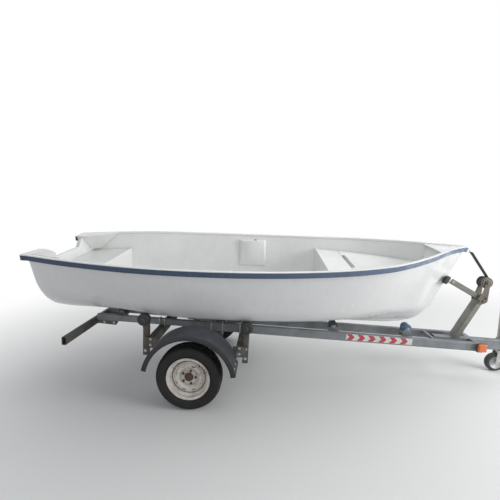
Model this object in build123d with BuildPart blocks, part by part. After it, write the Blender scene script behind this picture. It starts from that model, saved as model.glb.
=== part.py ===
from build123d import *
import math
import os

os.makedirs("parts", exist_ok=True)

# Sailing dinghy on its road trailer. Millimetres. +X to the bow, +Y to port, +Z up.
# The origin lies on the floor, under the middle of the whole outfit.

# Where things stand
axle_x = -960
wheel_radius = 273.5
tyre_centre_y = 642.5
rail_top_z = 540
chassis_slope = 3.32
boat_foot = (-2330, 45, 606.5)
boat_heel = 7.0
boat_trim = 1.3

# The boat is drawn level in its own frame, from the foot of the transom, and then
# rests on the trailer, heeled to starboard and a little down by the bow.
boat_pose = Location(boat_foot, (boat_heel, boat_trim, 0))

# The chassis is drawn level from the top of its rails above the axle, and slopes to the nose.
chassis_pose = Location((axle_x, 0, rail_top_z), (0, chassis_slope, 0))


def save(piece, name, pose=Location()):
    placed = piece.moved(pose)
    placed.label = name
    export_step(placed, f"parts/{name}.step")


# Hull stations, in the boat's own frame. lean is how far the top stands ahead of the foot.
hull_skin = 7
transom_thickness = 40
design_stations = [
    # foot_x, foot_z, lean, rise, half_beam, bilge_y, bilge_up, bilge_radius
    (0, 95, -83, 592, 456, 448, 65, 395),
    (600, 57, -30, 630, 622, 482, 175, 308),
    (1200, 0, -10, 677, 682, 494, 167, 344),
    (1900, 0, 0, 675, 676, 500, 163, 310),
    (2500, 0, 15, 684, 613, 450, 172, 300),
    (2960, 0, 50, 704, 497, 320, 190, 260),
    (3280, 0, 120, 734, 292, 175, 185, 220),
    (3480, 30, 160, 725, 117, 62, 140, 150),
    (3620, 170, 215, 597, 14, 10, 20, 15),
]


def blend(weighted_rows):
    return tuple(
        sum(weight * row[column] for weight, row in weighted_rows)
        for column in range(len(design_stations[0]))
    )


def fair(rows):
    """Adds a station halfway along each bay, on a fair curve through its neighbours."""
    faired = [rows[0], blend([(3 / 8, rows[0]), (6 / 8, rows[1]), (-1 / 8, rows[2])])]
    for k in range(1, len(rows) - 2):
        around = zip((-1 / 16, 9 / 16, 9 / 16, -1 / 16), rows[k - 1:k + 3])
        faired += [rows[k], blend(list(around))]
    tail = blend([(-1 / 8, rows[-3]), (6 / 8, rows[-2]), (3 / 8, rows[-1])])
    return faired + [rows[-2], tail, rows[-1]]


hull_stations = fair(design_stations)


def section_plane(row):
    foot_x, foot_z, lean, rise = row[:4]
    slope = math.hypot(lean, rise)
    return Plane(
        origin=(foot_x, 0, foot_z),
        x_dir=(0, 1, 0),
        z_dir=(rise / slope, 0, -lean / slope),
    )


def station_at(x):
    """The station whose foot is at x, from the two beside it."""
    after = next(k for k in range(1, len(hull_stations)) if hull_stations[k][0] >= x)
    low, high = hull_stations[after - 1], hull_stations[after]
    share = (x - low[0]) / (high[0] - low[0])
    return blend([(1 - share, low), (share, high)])


def side_top(row):
    return math.hypot(row[2], row[3])


def flare(row):
    return (row[4] - row[5]) / (side_top(row) - row[6])


def half_breadth(row, up, skin):
    """How far the hull's face, skin inside its outer face, stands off the centreline."""
    top = side_top(row)
    beam, corner_y, corner_up, radius = row[4] - skin, row[5] - skin, row[6] + skin, row[7] - skin
    bottom = Vector(corner_y, corner_up - skin).normalized()
    side = Vector(beam - corner_y, top - corner_up).normalized()
    turn = math.radians(bottom.get_angle(side))
    tangent = radius * math.tan(turn / 2)
    arc_low = Vector(corner_y, corner_up) - bottom * tangent
    arc_high = Vector(corner_y, corner_up) + side * tangent
    centre = arc_low + Vector(-bottom.Y, bottom.X) * radius
    if up >= arc_high.Y:
        return corner_y + (up - corner_up) * side.X / side.Y
    if up <= arc_low.Y:
        return (up - skin) * bottom.X / bottom.Y
    return centre.X + math.sqrt(radius**2 - (up - centre.Y) ** 2)


def hull_outline(row, skin):
    """Points of one half of a section, from keel to sheer."""
    return [(0, skin), (row[5] - skin, row[6] + skin), (row[4] - skin, side_top(row))]


def mirrored(points):
    return [(-y, up) for y, up in reversed(points)]


def round_bilges(sketch, row, skin):
    for side in (-1, 1):
        corner = (side * (row[5] - skin), row[6] + skin)
        fillet(sketch.vertices().sort_by_distance(corner)[0], row[7] - skin)


def shell_section(row):
    outer = hull_outline(row, 0)
    inner = hull_outline(row, hull_skin)
    ring = mirrored(outer)[:-1] + outer + inner[::-1] + mirrored(inner)[::-1][1:]
    with BuildSketch(section_plane(row)) as section:
        with BuildLine():
            Polyline(*ring, close=True)
        make_face()
        round_bilges(section, row, 0)
        round_bilges(section, row, hull_skin)
    return section.sketch.face()


with BuildPart() as hull_shell:
    loft([shell_section(row) for row in hull_stations], ruled=True)
save(hull_shell.part, "hull_shell", boat_pose)


# The transom's notch, whose lip is where an outboard motor hangs
notch_top_y = 268
notch_lip_y = 190
notch_depth = 78
skin_gap = 0.5
transom_row = hull_stations[0]
transom_face = section_plane(transom_row)
transom_top = side_top(transom_row)

# Gunwale cap and rubbing strake: a lipped moulding on the sheer, and a rubber band under its
# flange. Both are drawn as distances out from the sheer and up from it.
cap_top = 28
cap_reach = 25
cap_shape = [(-9, 0), (-9, 23), (-4, 28), (20, 28), (25, 24), (25, 20), (6, 20), (6, 0)]
strake_low = -24
strake_high = 19.5
strake_shape = [(6.5, 19.5), (21, 19.5), (25, 15), (25, -19), (20, -24), (0.5, -24), (0.5, -0.5), (6.5, -0.5)]


def cap_profile(row):
    return [(max(row[4] + out, 0), side_top(row) + up) for out, up in cap_shape]


def strake_profile(row):
    """The band's profile, its inner face set back down the flared side."""
    return [
        (row[4] + out + (flare(row) * up if out < 1 and up < -1 else 0), side_top(row) + up)
        for out, up in strake_shape
    ]


def ring_section(row, profile, side):
    with BuildSketch(section_plane(row)) as section:
        with BuildLine():
            Polyline(*[(side * y, up) for y, up in profile(row)], close=True)
        make_face()
    return section.sketch.face()


def nose_round(radius, low, high):
    """Half a disc that carries a rail round the stem, between two heights on it."""
    foot = stem_plane.from_local_coords((0, side_top(stem_row) + low, 0))
    with BuildPart() as nose:
        with BuildSketch(Plane(origin=foot, x_dir=stem_plane.z_dir, z_dir=stem_plane.y_dir)):
            Circle(radius)
            Rectangle(radius, 2 * radius, align=(Align.MIN, Align.CENTER), mode=Mode.INTERSECT)
        extrude(amount=high - low)
    return nose.part


stem_row = hull_stations[-1]
stem_plane = section_plane(stem_row)
nose_radius = stem_row[4] + cap_reach
sheer_z = transom_row[1] + transom_row[3]
rim_x = -120
horn_x = -150
transom_inside_x = transom_row[2] + transom_thickness - 3


def quarter_outline(inset, side):
    """Plan of a stern quarter's rim, which overhangs the transom, set in from its outer edge."""
    beam = transom_row[4]
    return [
        (transom_inside_x, side * notch_top_y),
        (rim_x + inset, side * notch_top_y),
        (horn_x + inset, side * (beam - 6)),
        (horn_x + 24 + inset / 2, side * (beam + cap_reach - inset)),
        (transom_row[2], side * (beam + cap_reach - inset)),
        (transom_row[2], side * (beam - 9)),
        (transom_inside_x, side * (beam - 9)),
    ]


def quarter_slab(inset, side, low, high):
    with BuildPart() as slab:
        with BuildSketch(Plane.XY.offset(sheer_z + low)):
            with BuildLine():
                Polyline(*quarter_outline(inset, side), close=True)
            make_face()
        extrude(amount=high - low)
    return slab.part


cap_nose = nose_round(nose_radius - 19, 0, 20) + nose_round(nose_radius, 20, cap_top)
strake_nose = nose_round(nose_radius, strake_low, strake_high) - nose_round(nose_radius - 18.5, -0.5, 20)

with BuildPart() as gunwale_cap:
    for side in (-1, 1):
        loft([ring_section(row, cap_profile, side) for row in hull_stations], ruled=True)
        add(quarter_slab(19, side, 0, 20))
        add(quarter_slab(0, side, 20, cap_top))
    add(cap_nose)
save(gunwale_cap.part, "gunwale_cap", boat_pose)

with BuildPart() as rubbing_strake:
    for side in (-1, 1):
        loft([ring_section(row, strake_profile, side) for row in hull_stations], ruled=True)
        add(quarter_slab(0, side, strake_low, strake_high) - quarter_slab(18.5, side, strake_low, strake_high))
    add(strake_nose)
save(rubbing_strake.part, "rubbing_strake", boat_pose)

# Transom board under the cap's ends, with the low lip where an outboard motor hangs
with BuildPart() as transom:
    with BuildSketch(transom_face) as transom_outline:
        half = hull_outline(transom_row, hull_skin + skin_gap)
        with BuildLine():
            Polyline(*mirrored(half)[:-1], *half, close=True)
        make_face()
        round_bilges(transom_outline, transom_row, hull_skin + skin_gap)
        with BuildLine():
            Polyline(
                (-notch_top_y, transom_top + 1),
                (-notch_lip_y, transom_top - notch_depth),
                (notch_lip_y, transom_top - notch_depth),
                (notch_top_y, transom_top + 1),
                close=True,
            )
        make_face(mode=Mode.SUBTRACT)
    extrude(amount=transom_thickness)
    add(gunwale_cap.part, mode=Mode.SUBTRACT)
save(transom.part, "transom", boat_pose)

# Quarter knees: moulded blocks in the stern's corners, flush with the gunwale on top, whose
# faces run down into the corner above the bench
knee_top = 714
knee_low = 532
knee_top_plan = [(8, 268), (104, 328), (203, 401), (305, None)]
knee_low_plan = [(2, 400), (12, 412), (38, 436), (68, None)]


def knee_section(height, plan, side):
    """A block's outline at one height: its face, then back along the hull's side."""
    back_x = transom_row[2] * (height - transom_row[1]) / transom_row[3] + transom_thickness + 1.5
    outline = [(back_x, plan[0][1])] + [(back_x + x, y) for x, y in plan[:-1]]
    for foot, x in ((back_x + plan[-1][0], back_x + plan[-1][0]), (0, back_x)):
        row = station_at(foot)
        up = min((height - row[1]) * side_top(row) / row[3], side_top(row))
        outline.append((x, half_breadth(row, up, inner_skin + 2)))
    with BuildSketch(Plane.XY.offset(height)) as section:
        with BuildLine():
            Polyline(*[(x, side * y) for x, y in outline], close=True)
        make_face()
    return section.sketch.face()


liner = 6
liner_gap = 2
inner_skin = hull_skin + liner_gap

with BuildPart() as quarter_knees:
    for side in (-1, 1):
        loft([knee_section(knee_low, knee_low_plan, side), knee_section(knee_top, knee_top_plan, side)], ruled=True)
save(quarter_knees.part, "quarter_knees", boat_pose)

# Inner moulding: sole, stern bench, thwart box, bow seat, well and bulkhead


def shelf(foot_low, foot_high, height, margin=0):
    """A level board across the hull, from one leaning station to another."""
    outline = []
    for k in range(9):
        row = station_at(foot_low + (foot_high - foot_low) * k / 8)
        up = (height - row[1]) * side_top(row) / row[3]
        x = row[0] + row[2] * (height - row[1]) / row[3]
        outline.append((x, half_breadth(row, min(up, side_top(row)), inner_skin + liner + margin)))
    with BuildPart() as board:
        with BuildSketch(Plane.XY.offset(height - liner)):
            with BuildLine():
                Polyline(*outline, *[(x, -y) for x, y in reversed(outline)], close=True)
            make_face()
        extrude(amount=liner)
    return board.part


def cross_board(x, low, high, thickness, inset=inner_skin):
    """An upright board across the hull between two heights, cut to the hull's section."""
    row = station_at(x)
    slant = side_top(row) / row[3]
    with BuildPart() as board:
        with BuildSketch(section_plane(row)) as outline:
            half = hull_outline(row, inset)
            with BuildLine():
                Polyline(*mirrored(half)[:-1], *half, close=True)
            make_face()
            round_bilges(outline, row, inset)
            with Locations((0, ((low + high) / 2 - row[1]) * slant)):
                Rectangle(2000, (high - low) * slant, mode=Mode.INTERSECT)
        extrude(amount=thickness)
    return board.part


sole_height = 125
bench_height = 523
bench_front_x = 424
thwart_height = 577
thwart_x = (2538, 2761)
slot_x = (2790, 2830)
slot_y = (-105, 315)
slot_depth = 75
lip_width = 14
lip_rise = 5
bow_seat_x = (2763, 3400)
well_height = 380
bulkhead_x = 3430
foredeck_x = 3405

save(shelf(60, thwart_x[0] - 4, sole_height, 2), "cockpit_sole", boat_pose)

with BuildPart() as stern_bench:
    add(shelf(transom_thickness + 3, bench_front_x, bench_height))
    add(shelf(bench_front_x - lip_width, bench_front_x, bench_height + lip_rise))
    add(cross_board(bench_front_x - liner, sole_height + 1, bench_height + lip_rise, liner))
save(stern_bench.part, "stern_bench", boat_pose)

with BuildPart() as thwart_box:
    add(shelf(*thwart_x, thwart_height))
    add(shelf(thwart_x[0], thwart_x[0] + lip_width, thwart_height + lip_rise))
    add(cross_board(thwart_x[0], sole_height - liner, thwart_height + lip_rise, liner))
    add(cross_board(thwart_x[1] - liner, sole_height - liner, thwart_height, liner))
save(thwart_box.part, "forward_thwart", boat_pose)

# The bow seat has a deep slot along its aft edge, with a rim all round
with BuildPart() as slot_trough:
    with Locations((sum(slot_x) / 2, sum(slot_y) / 2, thwart_height)):
        Box(
            slot_x[1] - slot_x[0] + 2 * liner, slot_y[1] - slot_y[0] + 2 * liner, slot_depth + liner,
            align=(Align.CENTER, Align.CENTER, Align.MAX),
        )

with BuildPart() as slot_space:
    with BuildSketch(Plane.XY.offset(thwart_height)):
        with Locations((sum(slot_x) / 2, sum(slot_y) / 2)):
            RectangleRounded(slot_x[1] - slot_x[0], slot_y[1] - slot_y[0], 12)
    extrude(amount=-slot_depth)

with BuildPart() as bow_seat:
    add(shelf(*bow_seat_x, thwart_height))
    add(slot_trough.part)
    add(slot_space.part, mode=Mode.SUBTRACT)
    split(bisect_by=Plane(origin=(slot_x[0] + 2.5, 0, 0), z_dir=(1, 0, 0)), keep=Keep.TOP)
    add(cross_board(bow_seat_x[1] - liner, well_height - liner, thwart_height, liner, inner_skin + 7))
    add(shelf(bow_seat_x[1] - liner, bulkhead_x, well_height))
save(bow_seat.part, "bow_seat", boat_pose)

with BuildPart() as bow_bulkhead:
    add(cross_board(bulkhead_x, well_height + 1, 775, liner, inner_skin + 7))
save(bow_bulkhead.part, "bow_bulkhead", boat_pose)


def deck_section(row):
    with BuildSketch(section_plane(row)) as section:
        with Locations((0, side_top(row) + 14)):
            Rectangle(2 * (row[4] - 11), 12)
    return section.sketch.face()


with BuildPart() as foredeck:
    loft([deck_section(row) for row in (station_at(foredeck_x), *hull_stations[-3:-1])], ruled=True)
save(foredeck.part, "foredeck", boat_pose)

# Rowlock pads: on each side a moulded swelling that grows out of the hull's side to a level
# top, with bevelled ends and a hole for the oar's socket
pad_stations = [(1668, 0.15), (1692, 1), (1825, 1), (1958, 1), (1982, 0.15)]
pad_low = 350
pad_high = 640
pad_swell = 52
socket_x = 1855
socket_radius = 8


def pad_section(x, share, side):
    row = station_at(x)
    low_y = half_breadth(row, pad_low - row[1], inner_skin)
    high_y = half_breadth(row, pad_high - row[1], inner_skin)
    corners = [
        (low_y, pad_low), (high_y, pad_high), (high_y - (pad_swell - 10) * share, pad_high),
        (high_y - pad_swell * share, pad_high - 12), (low_y - 3, pad_low + 5),
    ]
    with BuildSketch(section_plane(row)) as section:
        with BuildLine():
            Polyline(*[(side * y, height - row[1]) for y, height in corners], close=True)
        make_face()
    return section.sketch.face()


with BuildPart() as rowlock_pads:
    for side in (-1, 1):
        loft([pad_section(x, share, side) for x, share in pad_stations], ruled=True)
        socket_y = half_breadth(station_at(socket_x), pad_high, inner_skin) - pad_swell / 2
        with Locations((socket_x, side * socket_y, pad_high - 45)):
            Cylinder(socket_radius, 50, align=(Align.CENTER, Align.CENTER, Align.MIN), mode=Mode.SUBTRACT)
save(rowlock_pads.part, "rowlock_pads", boat_pose)

# Motor pad on the transom's inner face, under the lip
with BuildPart() as motor_pad:
    with BuildSketch(transom_face.offset(transom_thickness)):
        with Locations((0, transom_top - notch_depth - 42)):
            RectangleRounded(300, 64, 12)
    extrude(amount=4)
save(motor_pad.part, "motor_pad", boat_pose)

# Keel band under the middle of the hull
keel_half_width = 16
keel_depth = 16


def keel_section(row):
    lift = keel_half_width * row[6] / row[5]
    with BuildSketch(section_plane(row)) as section:
        with BuildLine():
            Polyline(
                (0, -1),
                (keel_half_width, lift - 1),
                (keel_half_width, -keel_depth),
                (-keel_half_width, -keel_depth),
                (-keel_half_width, lift - 1),
                close=True,
            )
        make_face()
    return section.sketch.face()


with BuildPart() as keel_band:
    loft([keel_section(row) for row in hull_stations[:-4]], ruled=True)
save(keel_band.part, "keel_band", boat_pose)

# Bow eye, a steel loop on the stem head
eye_up = side_top(stem_row) + (strake_low + strake_high) / 2
eye_half = 13
eye_reach = 34
with BuildPart() as bow_eye:
    eye_foot = stem_plane.from_local_coords((0, eye_up, nose_radius + 0.2))
    with BuildLine(Plane(origin=eye_foot, x_dir=stem_plane.z_dir, z_dir=(0, -1, 0))) as loop:
        FilletPolyline((0, -eye_half), (eye_reach, -eye_half), (eye_reach, eye_half), (0, eye_half), radius=10)
    with BuildSketch(Plane(origin=loop.line @ 0, z_dir=loop.line % 0)):
        Circle(4)
    sweep()
save(bow_eye.part, "bow_eye", boat_pose)

# Chassis, in its own frame: rails, cross tubes, crossbars and drawbar
rail_y = 120
rail_width = 45
rail_depth = 80
rail_wall = 3
tail_depth = 60
tail_front_x = -200
rail_back_x = -1067
rail_front_x = 2630
tube = 60
crossbar_half = 515
drawbar_width = 60
drawbar_depth = 100


def box_tube(length, width, depth, wall):
    """A square tube along +X from the origin, its top on the XY plane."""
    with BuildPart() as bar:
        with BuildSketch(Plane.YZ):
            with Locations((0, -depth / 2)):
                RectangleRounded(width, depth, 2 * wall)
                RectangleRounded(width - 2 * wall, depth - 2 * wall, wall, mode=Mode.SUBTRACT)
        extrude(amount=length)
    return bar.part


def cross_tube(length, width, depth, wall):
    """The same tube lying across, centred on the origin."""
    return box_tube(length, width, depth, wall).moved(Location((0, -length / 2, 0), (0, 0, 90)))


with BuildPart() as rail:
    add(box_tube(rail_front_x - tail_front_x, rail_width, rail_depth, rail_wall).moved(Location((tail_front_x, 0, 0))))
    add(box_tube(tail_front_x - rail_back_x, rail_width, tail_depth, rail_wall).moved(Location((rail_back_x, 0, 0))))
for side_name, side in (("starboard", -1), ("port", 1)):
    save(rail.part.moved(Location((0, side * rail_y, 0))), f"rail_{side_name}", chassis_pose)

# Rear crossbar across the rails' ends, on a gusset under each rail
rear_crossbar_half = 615
rear_crossbar_width = 40
rear_crossbar_depth = 70
rear_crossbar_top = -35
gusset_front_x = -850
with BuildPart() as rear_crossbar:
    crossbar = cross_tube(2 * rear_crossbar_half, rear_crossbar_width, rear_crossbar_depth, 3)
    add(crossbar.moved(Location((rail_back_x - rear_crossbar_width / 2, 0, rear_crossbar_top))))
    for side in (-1, 1):
        with BuildSketch(Plane.XZ.offset(-side * rail_y - 4)):
            with BuildLine():
                Polyline(
                    (rail_back_x - 1, -tail_depth), (gusset_front_x, -tail_depth),
                    (gusset_front_x - 30, -tail_depth - 48), (rail_back_x - 1, -tail_depth - 42), close=True,
                )
            make_face()
        extrude(amount=8)
save(rear_crossbar.part, "rear_crossbar", chassis_pose)

front_crossbar_x = rail_front_x + 25
with BuildPart() as front_crossbar:
    add(cross_tube(2 * rail_y + 90, 50, rail_depth, 3).moved(Location((front_crossbar_x, 0, 0))))
save(front_crossbar.part, "front_crossbar", chassis_pose)

# Three tubes between the rails: two carry keel rollers, the last ties the nose
keel_roller_x = (-860, 230, 1310, 2030)
tie_tube_x = 2260
tie_tops = (-34, -45, -23, -22, 0)
tie_size = 30
gap_between_rails = 2 * rail_y - rail_width
with BuildPart() as cross_ties:
    for x, top in zip((*keel_roller_x, tie_tube_x), tie_tops):
        add(cross_tube(gap_between_rails, tie_size, tie_size, 3).moved(Location((x, 0, top))))
save(cross_ties.part, "cross_ties", chassis_pose)

# Side beams under the rails, which carry the side rollers and the bars under the mudguards
side_beam_x = (-400, 405)
side_beam_top = (-tail_depth, -rail_depth)
side_beam_half = 440
side_beam_depth = 90
end_plate = (120, 98)
bar_angles = ((158, 163), (14, 19))
guard_radius = 390
guard_sheet = 2.5
guard_outer_y = 750
guard_centre = (axle_x + 10, wheel_radius)


def guard_bar(low, high):
    """A flat bar across under a mudguard, on both sides, bent to the sheet's inner face."""
    inner = guard_radius - guard_sheet - 0.3
    with BuildPart() as bar:
        for side in (-1, 1):
            with BuildSketch(Plane.XZ.offset(-side * (side_beam_half - 30))):
                with BuildLine() as edge:
                    CenterArc(guard_centre, inner, low, high - low)
                    CenterArc(guard_centre, inner - 6, low, high - low)
                    outer_arc, inner_arc = edge.edges()[0], edge.edges()[1]
                    Line(outer_arc @ 0, inner_arc @ 0)
                    Line(outer_arc @ 1, inner_arc @ 1)
                make_face()
            extrude(amount=-side * (guard_outer_y - guard_sheet - 2 - side_beam_half + 30))
    return bar.part.moved(chassis_pose.inverse())


with BuildPart() as side_beams:
    for x, top, angles in zip(side_beam_x, side_beam_top, bar_angles):
        add(cross_tube(2 * side_beam_half, tube, side_beam_depth, 3).moved(Location((x, 0, top))))
        add(guard_bar(*angles))
        for side in (-1, 1):
            with Locations((x, side * (side_beam_half - 2), top - end_plate[1] / 2)):
                Box(end_plate[0], 4, end_plate[1])
save(side_beams.part, "side_beams", chassis_pose)

drawbar_back_x = 2300
drawbar_front_x = 3299.3
with BuildPart() as drawbar:
    add(box_tube(front_crossbar_x - 25 - drawbar_back_x, drawbar_width, drawbar_depth, 4).moved(Location((drawbar_back_x, 0, 0))))
    add(box_tube(drawbar_front_x - front_crossbar_x - 25, drawbar_width, drawbar_depth, 4).moved(Location((front_crossbar_x + 25, 0, 0))))
save(drawbar.part, "drawbar", chassis_pose)

# Axle: a square beam with a trailing arm and a stub at each end
beam_x = 150
beam_z = 350
arm_y = 510
arm_thickness = 24
stub_radius = 20
stub_length = 128


def rail_under(x):
    """Height of the rails' underside at a distance ahead of the axle."""
    slope = math.radians(chassis_slope)
    return rail_top_z - rail_depth / math.cos(slope) - x * math.tan(slope)


with BuildPart() as axle_beam:
    with BuildSketch(Plane.XZ.offset(arm_y - arm_thickness / 2)):
        with Locations((axle_x + beam_x, beam_z)):
            RectangleRounded(tube, tube, 6)
    extrude(amount=-2 * arm_y + arm_thickness)
save(axle_beam.part, "axle_beam")

with BuildPart() as axle_brackets:
    for side in (-1, 1):
        with BuildSketch(Plane.XZ.offset(-side * rail_y - rail_width / 2)):
            with BuildLine():
                Polyline(
                    (axle_x + beam_x - 45, beam_z + tube / 2),
                    (axle_x + beam_x + 45, beam_z + tube / 2),
                    (axle_x + beam_x + 70, rail_under(beam_x + 70)),
                    (axle_x + beam_x - 70, rail_under(beam_x - 70)),
                    close=True,
                )
            make_face()
        extrude(amount=rail_width)
save(axle_brackets.part, "axle_brackets")


def wheel_end(side):
    """Pose of a wheel's own frame, its +Z outward along the axle."""
    return Location((axle_x, side * tyre_centre_y, wheel_radius), (-side * 90, 0, 0))


arm_inner = arm_y - arm_thickness / 2 - tyre_centre_y
with BuildPart() as trailing_arm:
    with BuildSketch(Plane.XY.offset(arm_inner)):
        Circle(32)
        with Locations((beam_x, beam_z - wheel_radius)):
            Circle(44)
        make_hull()
    extrude(amount=arm_thickness)
    with Locations((0, 0, arm_inner + arm_thickness)):
        Cylinder(stub_radius, stub_length, align=(Align.CENTER, Align.CENTER, Align.MIN))

# Wheel: tyre, steel rim with vents, hub with its bolts and grease cap
hub_gap = 0.05
face_offset = 24
bolt_circle = 112
bolt_count = 5
bore_radius = 33
vent_count = 8
vent_circle = 212
tyre_profile = [
    (167, -55), (182, -58), (205, -72), (232, -77.5), (256, -73), (269, -57), (273.5, -36),
    (273.5, 36), (269, 57), (256, 73), (232, 77.5), (205, 72), (182, 58), (167, 55),
]
barrel_profile = [
    (181, -66), (182, -60), (166, -56), (165, -36), (148, -24), (148, 20), (165, 34), (166, 56), (182, 60),
    (181, 66), (162, 62), (161, 37), (144, 24), (144, -28), (161, -40), (162, -62),
]
disc_profile = [
    (bore_radius, face_offset), (76, face_offset), (84, face_offset + 10), (96, face_offset + 20),
    (116, face_offset + 20), (134, face_offset + 2), (145, face_offset - 16), (145, face_offset - 22),
    (140, face_offset - 20), (131, face_offset - 2), (114, face_offset + 15), (98, face_offset + 15),
    (88, face_offset + 7), (80, face_offset - 4), (bore_radius, face_offset - 4),
]


def turned(profile):
    with BuildPart() as ring:
        with BuildSketch(Plane.XZ):
            with BuildLine():
                Polyline(*profile, close=True)
            make_face()
        revolve(axis=Axis.Z)
    return ring.part


with BuildPart() as tyre:
    add(turned(tyre_profile))

with BuildPart() as rim:
    add(turned(barrel_profile))
    add(turned(disc_profile))
    with BuildSketch(Plane.XY.offset(face_offset - 30)):
        with PolarLocations(bolt_circle / 2, bolt_count):
            Circle(8)
        with PolarLocations(vent_circle / 2, vent_count, start_angle=22.5):
            SlotOverall(30, 11, rotation=90)
    extrude(amount=70, mode=Mode.SUBTRACT)

hub_back = arm_inner + arm_thickness + 6
with BuildPart() as hub:
    with Locations((0, 0, hub_back)):
        Cylinder(36, face_offset - 16 - hub_back, align=(Align.CENTER, Align.CENTER, Align.MIN))
    with Locations((0, 0, face_offset - 16)):
        Cylinder(72, 12, align=(Align.CENTER, Align.CENTER, Align.MIN))
    with Locations((0, 0, face_offset - 4)):
        Cylinder(bore_radius - 0.5, 22, align=(Align.CENTER, Align.CENTER, Align.MIN))
    fillet(hub.edges().group_by(Axis.Z)[-1], 8)
    with Locations((0, 0, hub_back)):
        Cylinder(
            stub_radius + hub_gap, stub_length,
            align=(Align.CENTER, Align.CENTER, Align.MIN), mode=Mode.SUBTRACT,
        )
    with BuildSketch(Plane.XY.offset(face_offset - 4)):
        with PolarLocations(bolt_circle / 2, bolt_count):
            Circle(6)
    extrude(amount=6)
    with BuildSketch(Plane.XY.offset(face_offset + 0.5)):
        with PolarLocations(bolt_circle / 2, bolt_count):
            RegularPolygon(10, 6)
    extrude(amount=13)

for side_name, side in (("starboard", -1), ("port", 1)):
    arm = trailing_arm.part if side < 0 else trailing_arm.part.mirror(Plane.XZ)
    save(arm, f"trailing_arm_{side_name}", wheel_end(side))
    save(tyre.part, f"tyre_{side_name}", wheel_end(side))
    save(rim.part, f"rim_{side_name}", wheel_end(side))
    save(hub.part, f"hub_{side_name}", wheel_end(side))

# Mudguards, rolled sheet with a valance on the outer edge, and their stays to the axle beam
guard_inner_y = 532
guard_front = 8
guard_back = 167
valance_depth = 40


def guard_arc(outer, inner):
    """An arched strip over the wheel, seen from the side."""
    with BuildLine() as edge:
        CenterArc(guard_centre, outer, guard_front, guard_back - guard_front)
        CenterArc(guard_centre, inner, guard_front, guard_back - guard_front)
        outer_ends = edge.edges()[0]
        inner_ends = edge.edges()[1]
        Line(outer_ends @ 0, inner_ends @ 0)
        Line(outer_ends @ 1, inner_ends @ 1)
    return edge.line


for side_name, side in (("starboard", -1), ("port", 1)):
    with BuildPart() as mudguard:
        with BuildSketch(Plane.XZ.offset(-side * guard_inner_y)):
            with BuildLine():
                add(guard_arc(guard_radius, guard_radius - guard_sheet))
            make_face()
        extrude(amount=-side * (guard_outer_y - guard_inner_y))
        with BuildSketch(Plane.XZ.offset(-side * (guard_outer_y - guard_sheet))):
            with BuildLine():
                add(guard_arc(guard_radius, guard_radius - valance_depth))
            make_face()
        extrude(amount=-side * guard_sheet)
    save(mudguard.part, f"mudguard_{side_name}")

# Side rollers: a post at each end of both beams, with a roller on a spindle outboard of it
post = 50
post_y = 393
post_low = -243
post_top = (92, 84)
ear = 6
spindle_z = (115, 108)
side_roller_radius = 55
roller_clearance = 0.2
side_roller_width = 60
spindle_radius = 10
post_x = (side_beam_x[0] - tube / 2 - post / 2, side_beam_x[1] + tube / 2 + post / 2)
for side_name, side in (("starboard", -1), ("port", 1)):
    with BuildPart() as roller_posts:
        for x, spindle, top in zip(post_x, spindle_z, post_top):
            with BuildSketch(Plane.XY.offset(post_low)):
                with Locations((x, side * post_y)):
                    RectangleRounded(post, post, 5)
            extrude(amount=top - post_low)
            with BuildSketch(Plane.XZ.offset(-side * (post_y + post / 2))):
                with BuildLine():
                    Polyline((x - 24, 20), (x + 24, 20), (x + 16, spindle + 16), (x - 16, spindle + 16), close=True)
                make_face()
            extrude(amount=-side * ear)
            with BuildSketch(Plane.XZ.offset(-side * (post_y + post / 2))):
                with Locations((x, spindle)):
                    Circle(spindle_radius)
            extrude(amount=-side * (ear + side_roller_width + 10))
    save(roller_posts.part, f"roller_posts_{side_name}", chassis_pose)
    with BuildPart() as side_rollers:
        for x, spindle in zip(post_x, spindle_z):
            with BuildSketch(Plane.XZ.offset(-side * (post_y + post / 2 + ear + 1))):
                with Locations((x, spindle)):
                    Circle(side_roller_radius)
                    Circle(spindle_radius + roller_clearance, mode=Mode.SUBTRACT)
            extrude(amount=-side * side_roller_width)
    save(side_rollers.part, f"side_rollers_{side_name}", chassis_pose)

# Keel rollers on plate brackets between the rails
keel_roller_radii = (38, 32, 42, 42)
keel_roller_half = 38
keel_roller_top = (44.3, 21.3, 63.3, 96)
with BuildPart() as keel_rollers:
    for x, top, radius in zip(keel_roller_x, keel_roller_top, keel_roller_radii):
        with BuildSketch(Plane.XZ.offset(-keel_roller_half)):
            with Locations((x, top - radius)):
                Circle(radius)
                Circle(8, mode=Mode.SUBTRACT)
        extrude(amount=2 * keel_roller_half)
save(keel_rollers.part, "keel_rollers", chassis_pose)

with BuildPart() as keel_roller_brackets:
    for x, top, radius, foot in zip(keel_roller_x, keel_roller_top, keel_roller_radii, tie_tops):
        height = top - radius
        with BuildSketch(Plane.XZ.offset(-keel_roller_half - 8)):
            with Locations((x, height)):
                Circle(8)
        extrude(amount=2 * keel_roller_half + 16)
        for side in (-1, 1):
            with BuildSketch(Plane.XZ.offset(side * (keel_roller_half + 6) - 3)):
                with BuildLine():
                    Polyline((x - 55, foot), (x + 55, foot), (x + 18, height + 14), (x - 18, height + 14), close=True)
                make_face()
            extrude(amount=6)
save(keel_roller_brackets.part, "keel_roller_brackets", chassis_pose)

# Winch post, leaning forward off the drawbar, with the winch and the snubber for the stem
post_foot = (2478 + axle_x, 350)
post_head = (2692 + axle_x, 766)
post_length = math.dist(post_foot, post_head)
post_run = (post_head[0] - post_foot[0], 0, post_head[1] - post_foot[1])
winch_post_width = 90
drum_centre = (2738 + axle_x, 948)
drum_radius = 55
drum_half = 36

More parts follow.
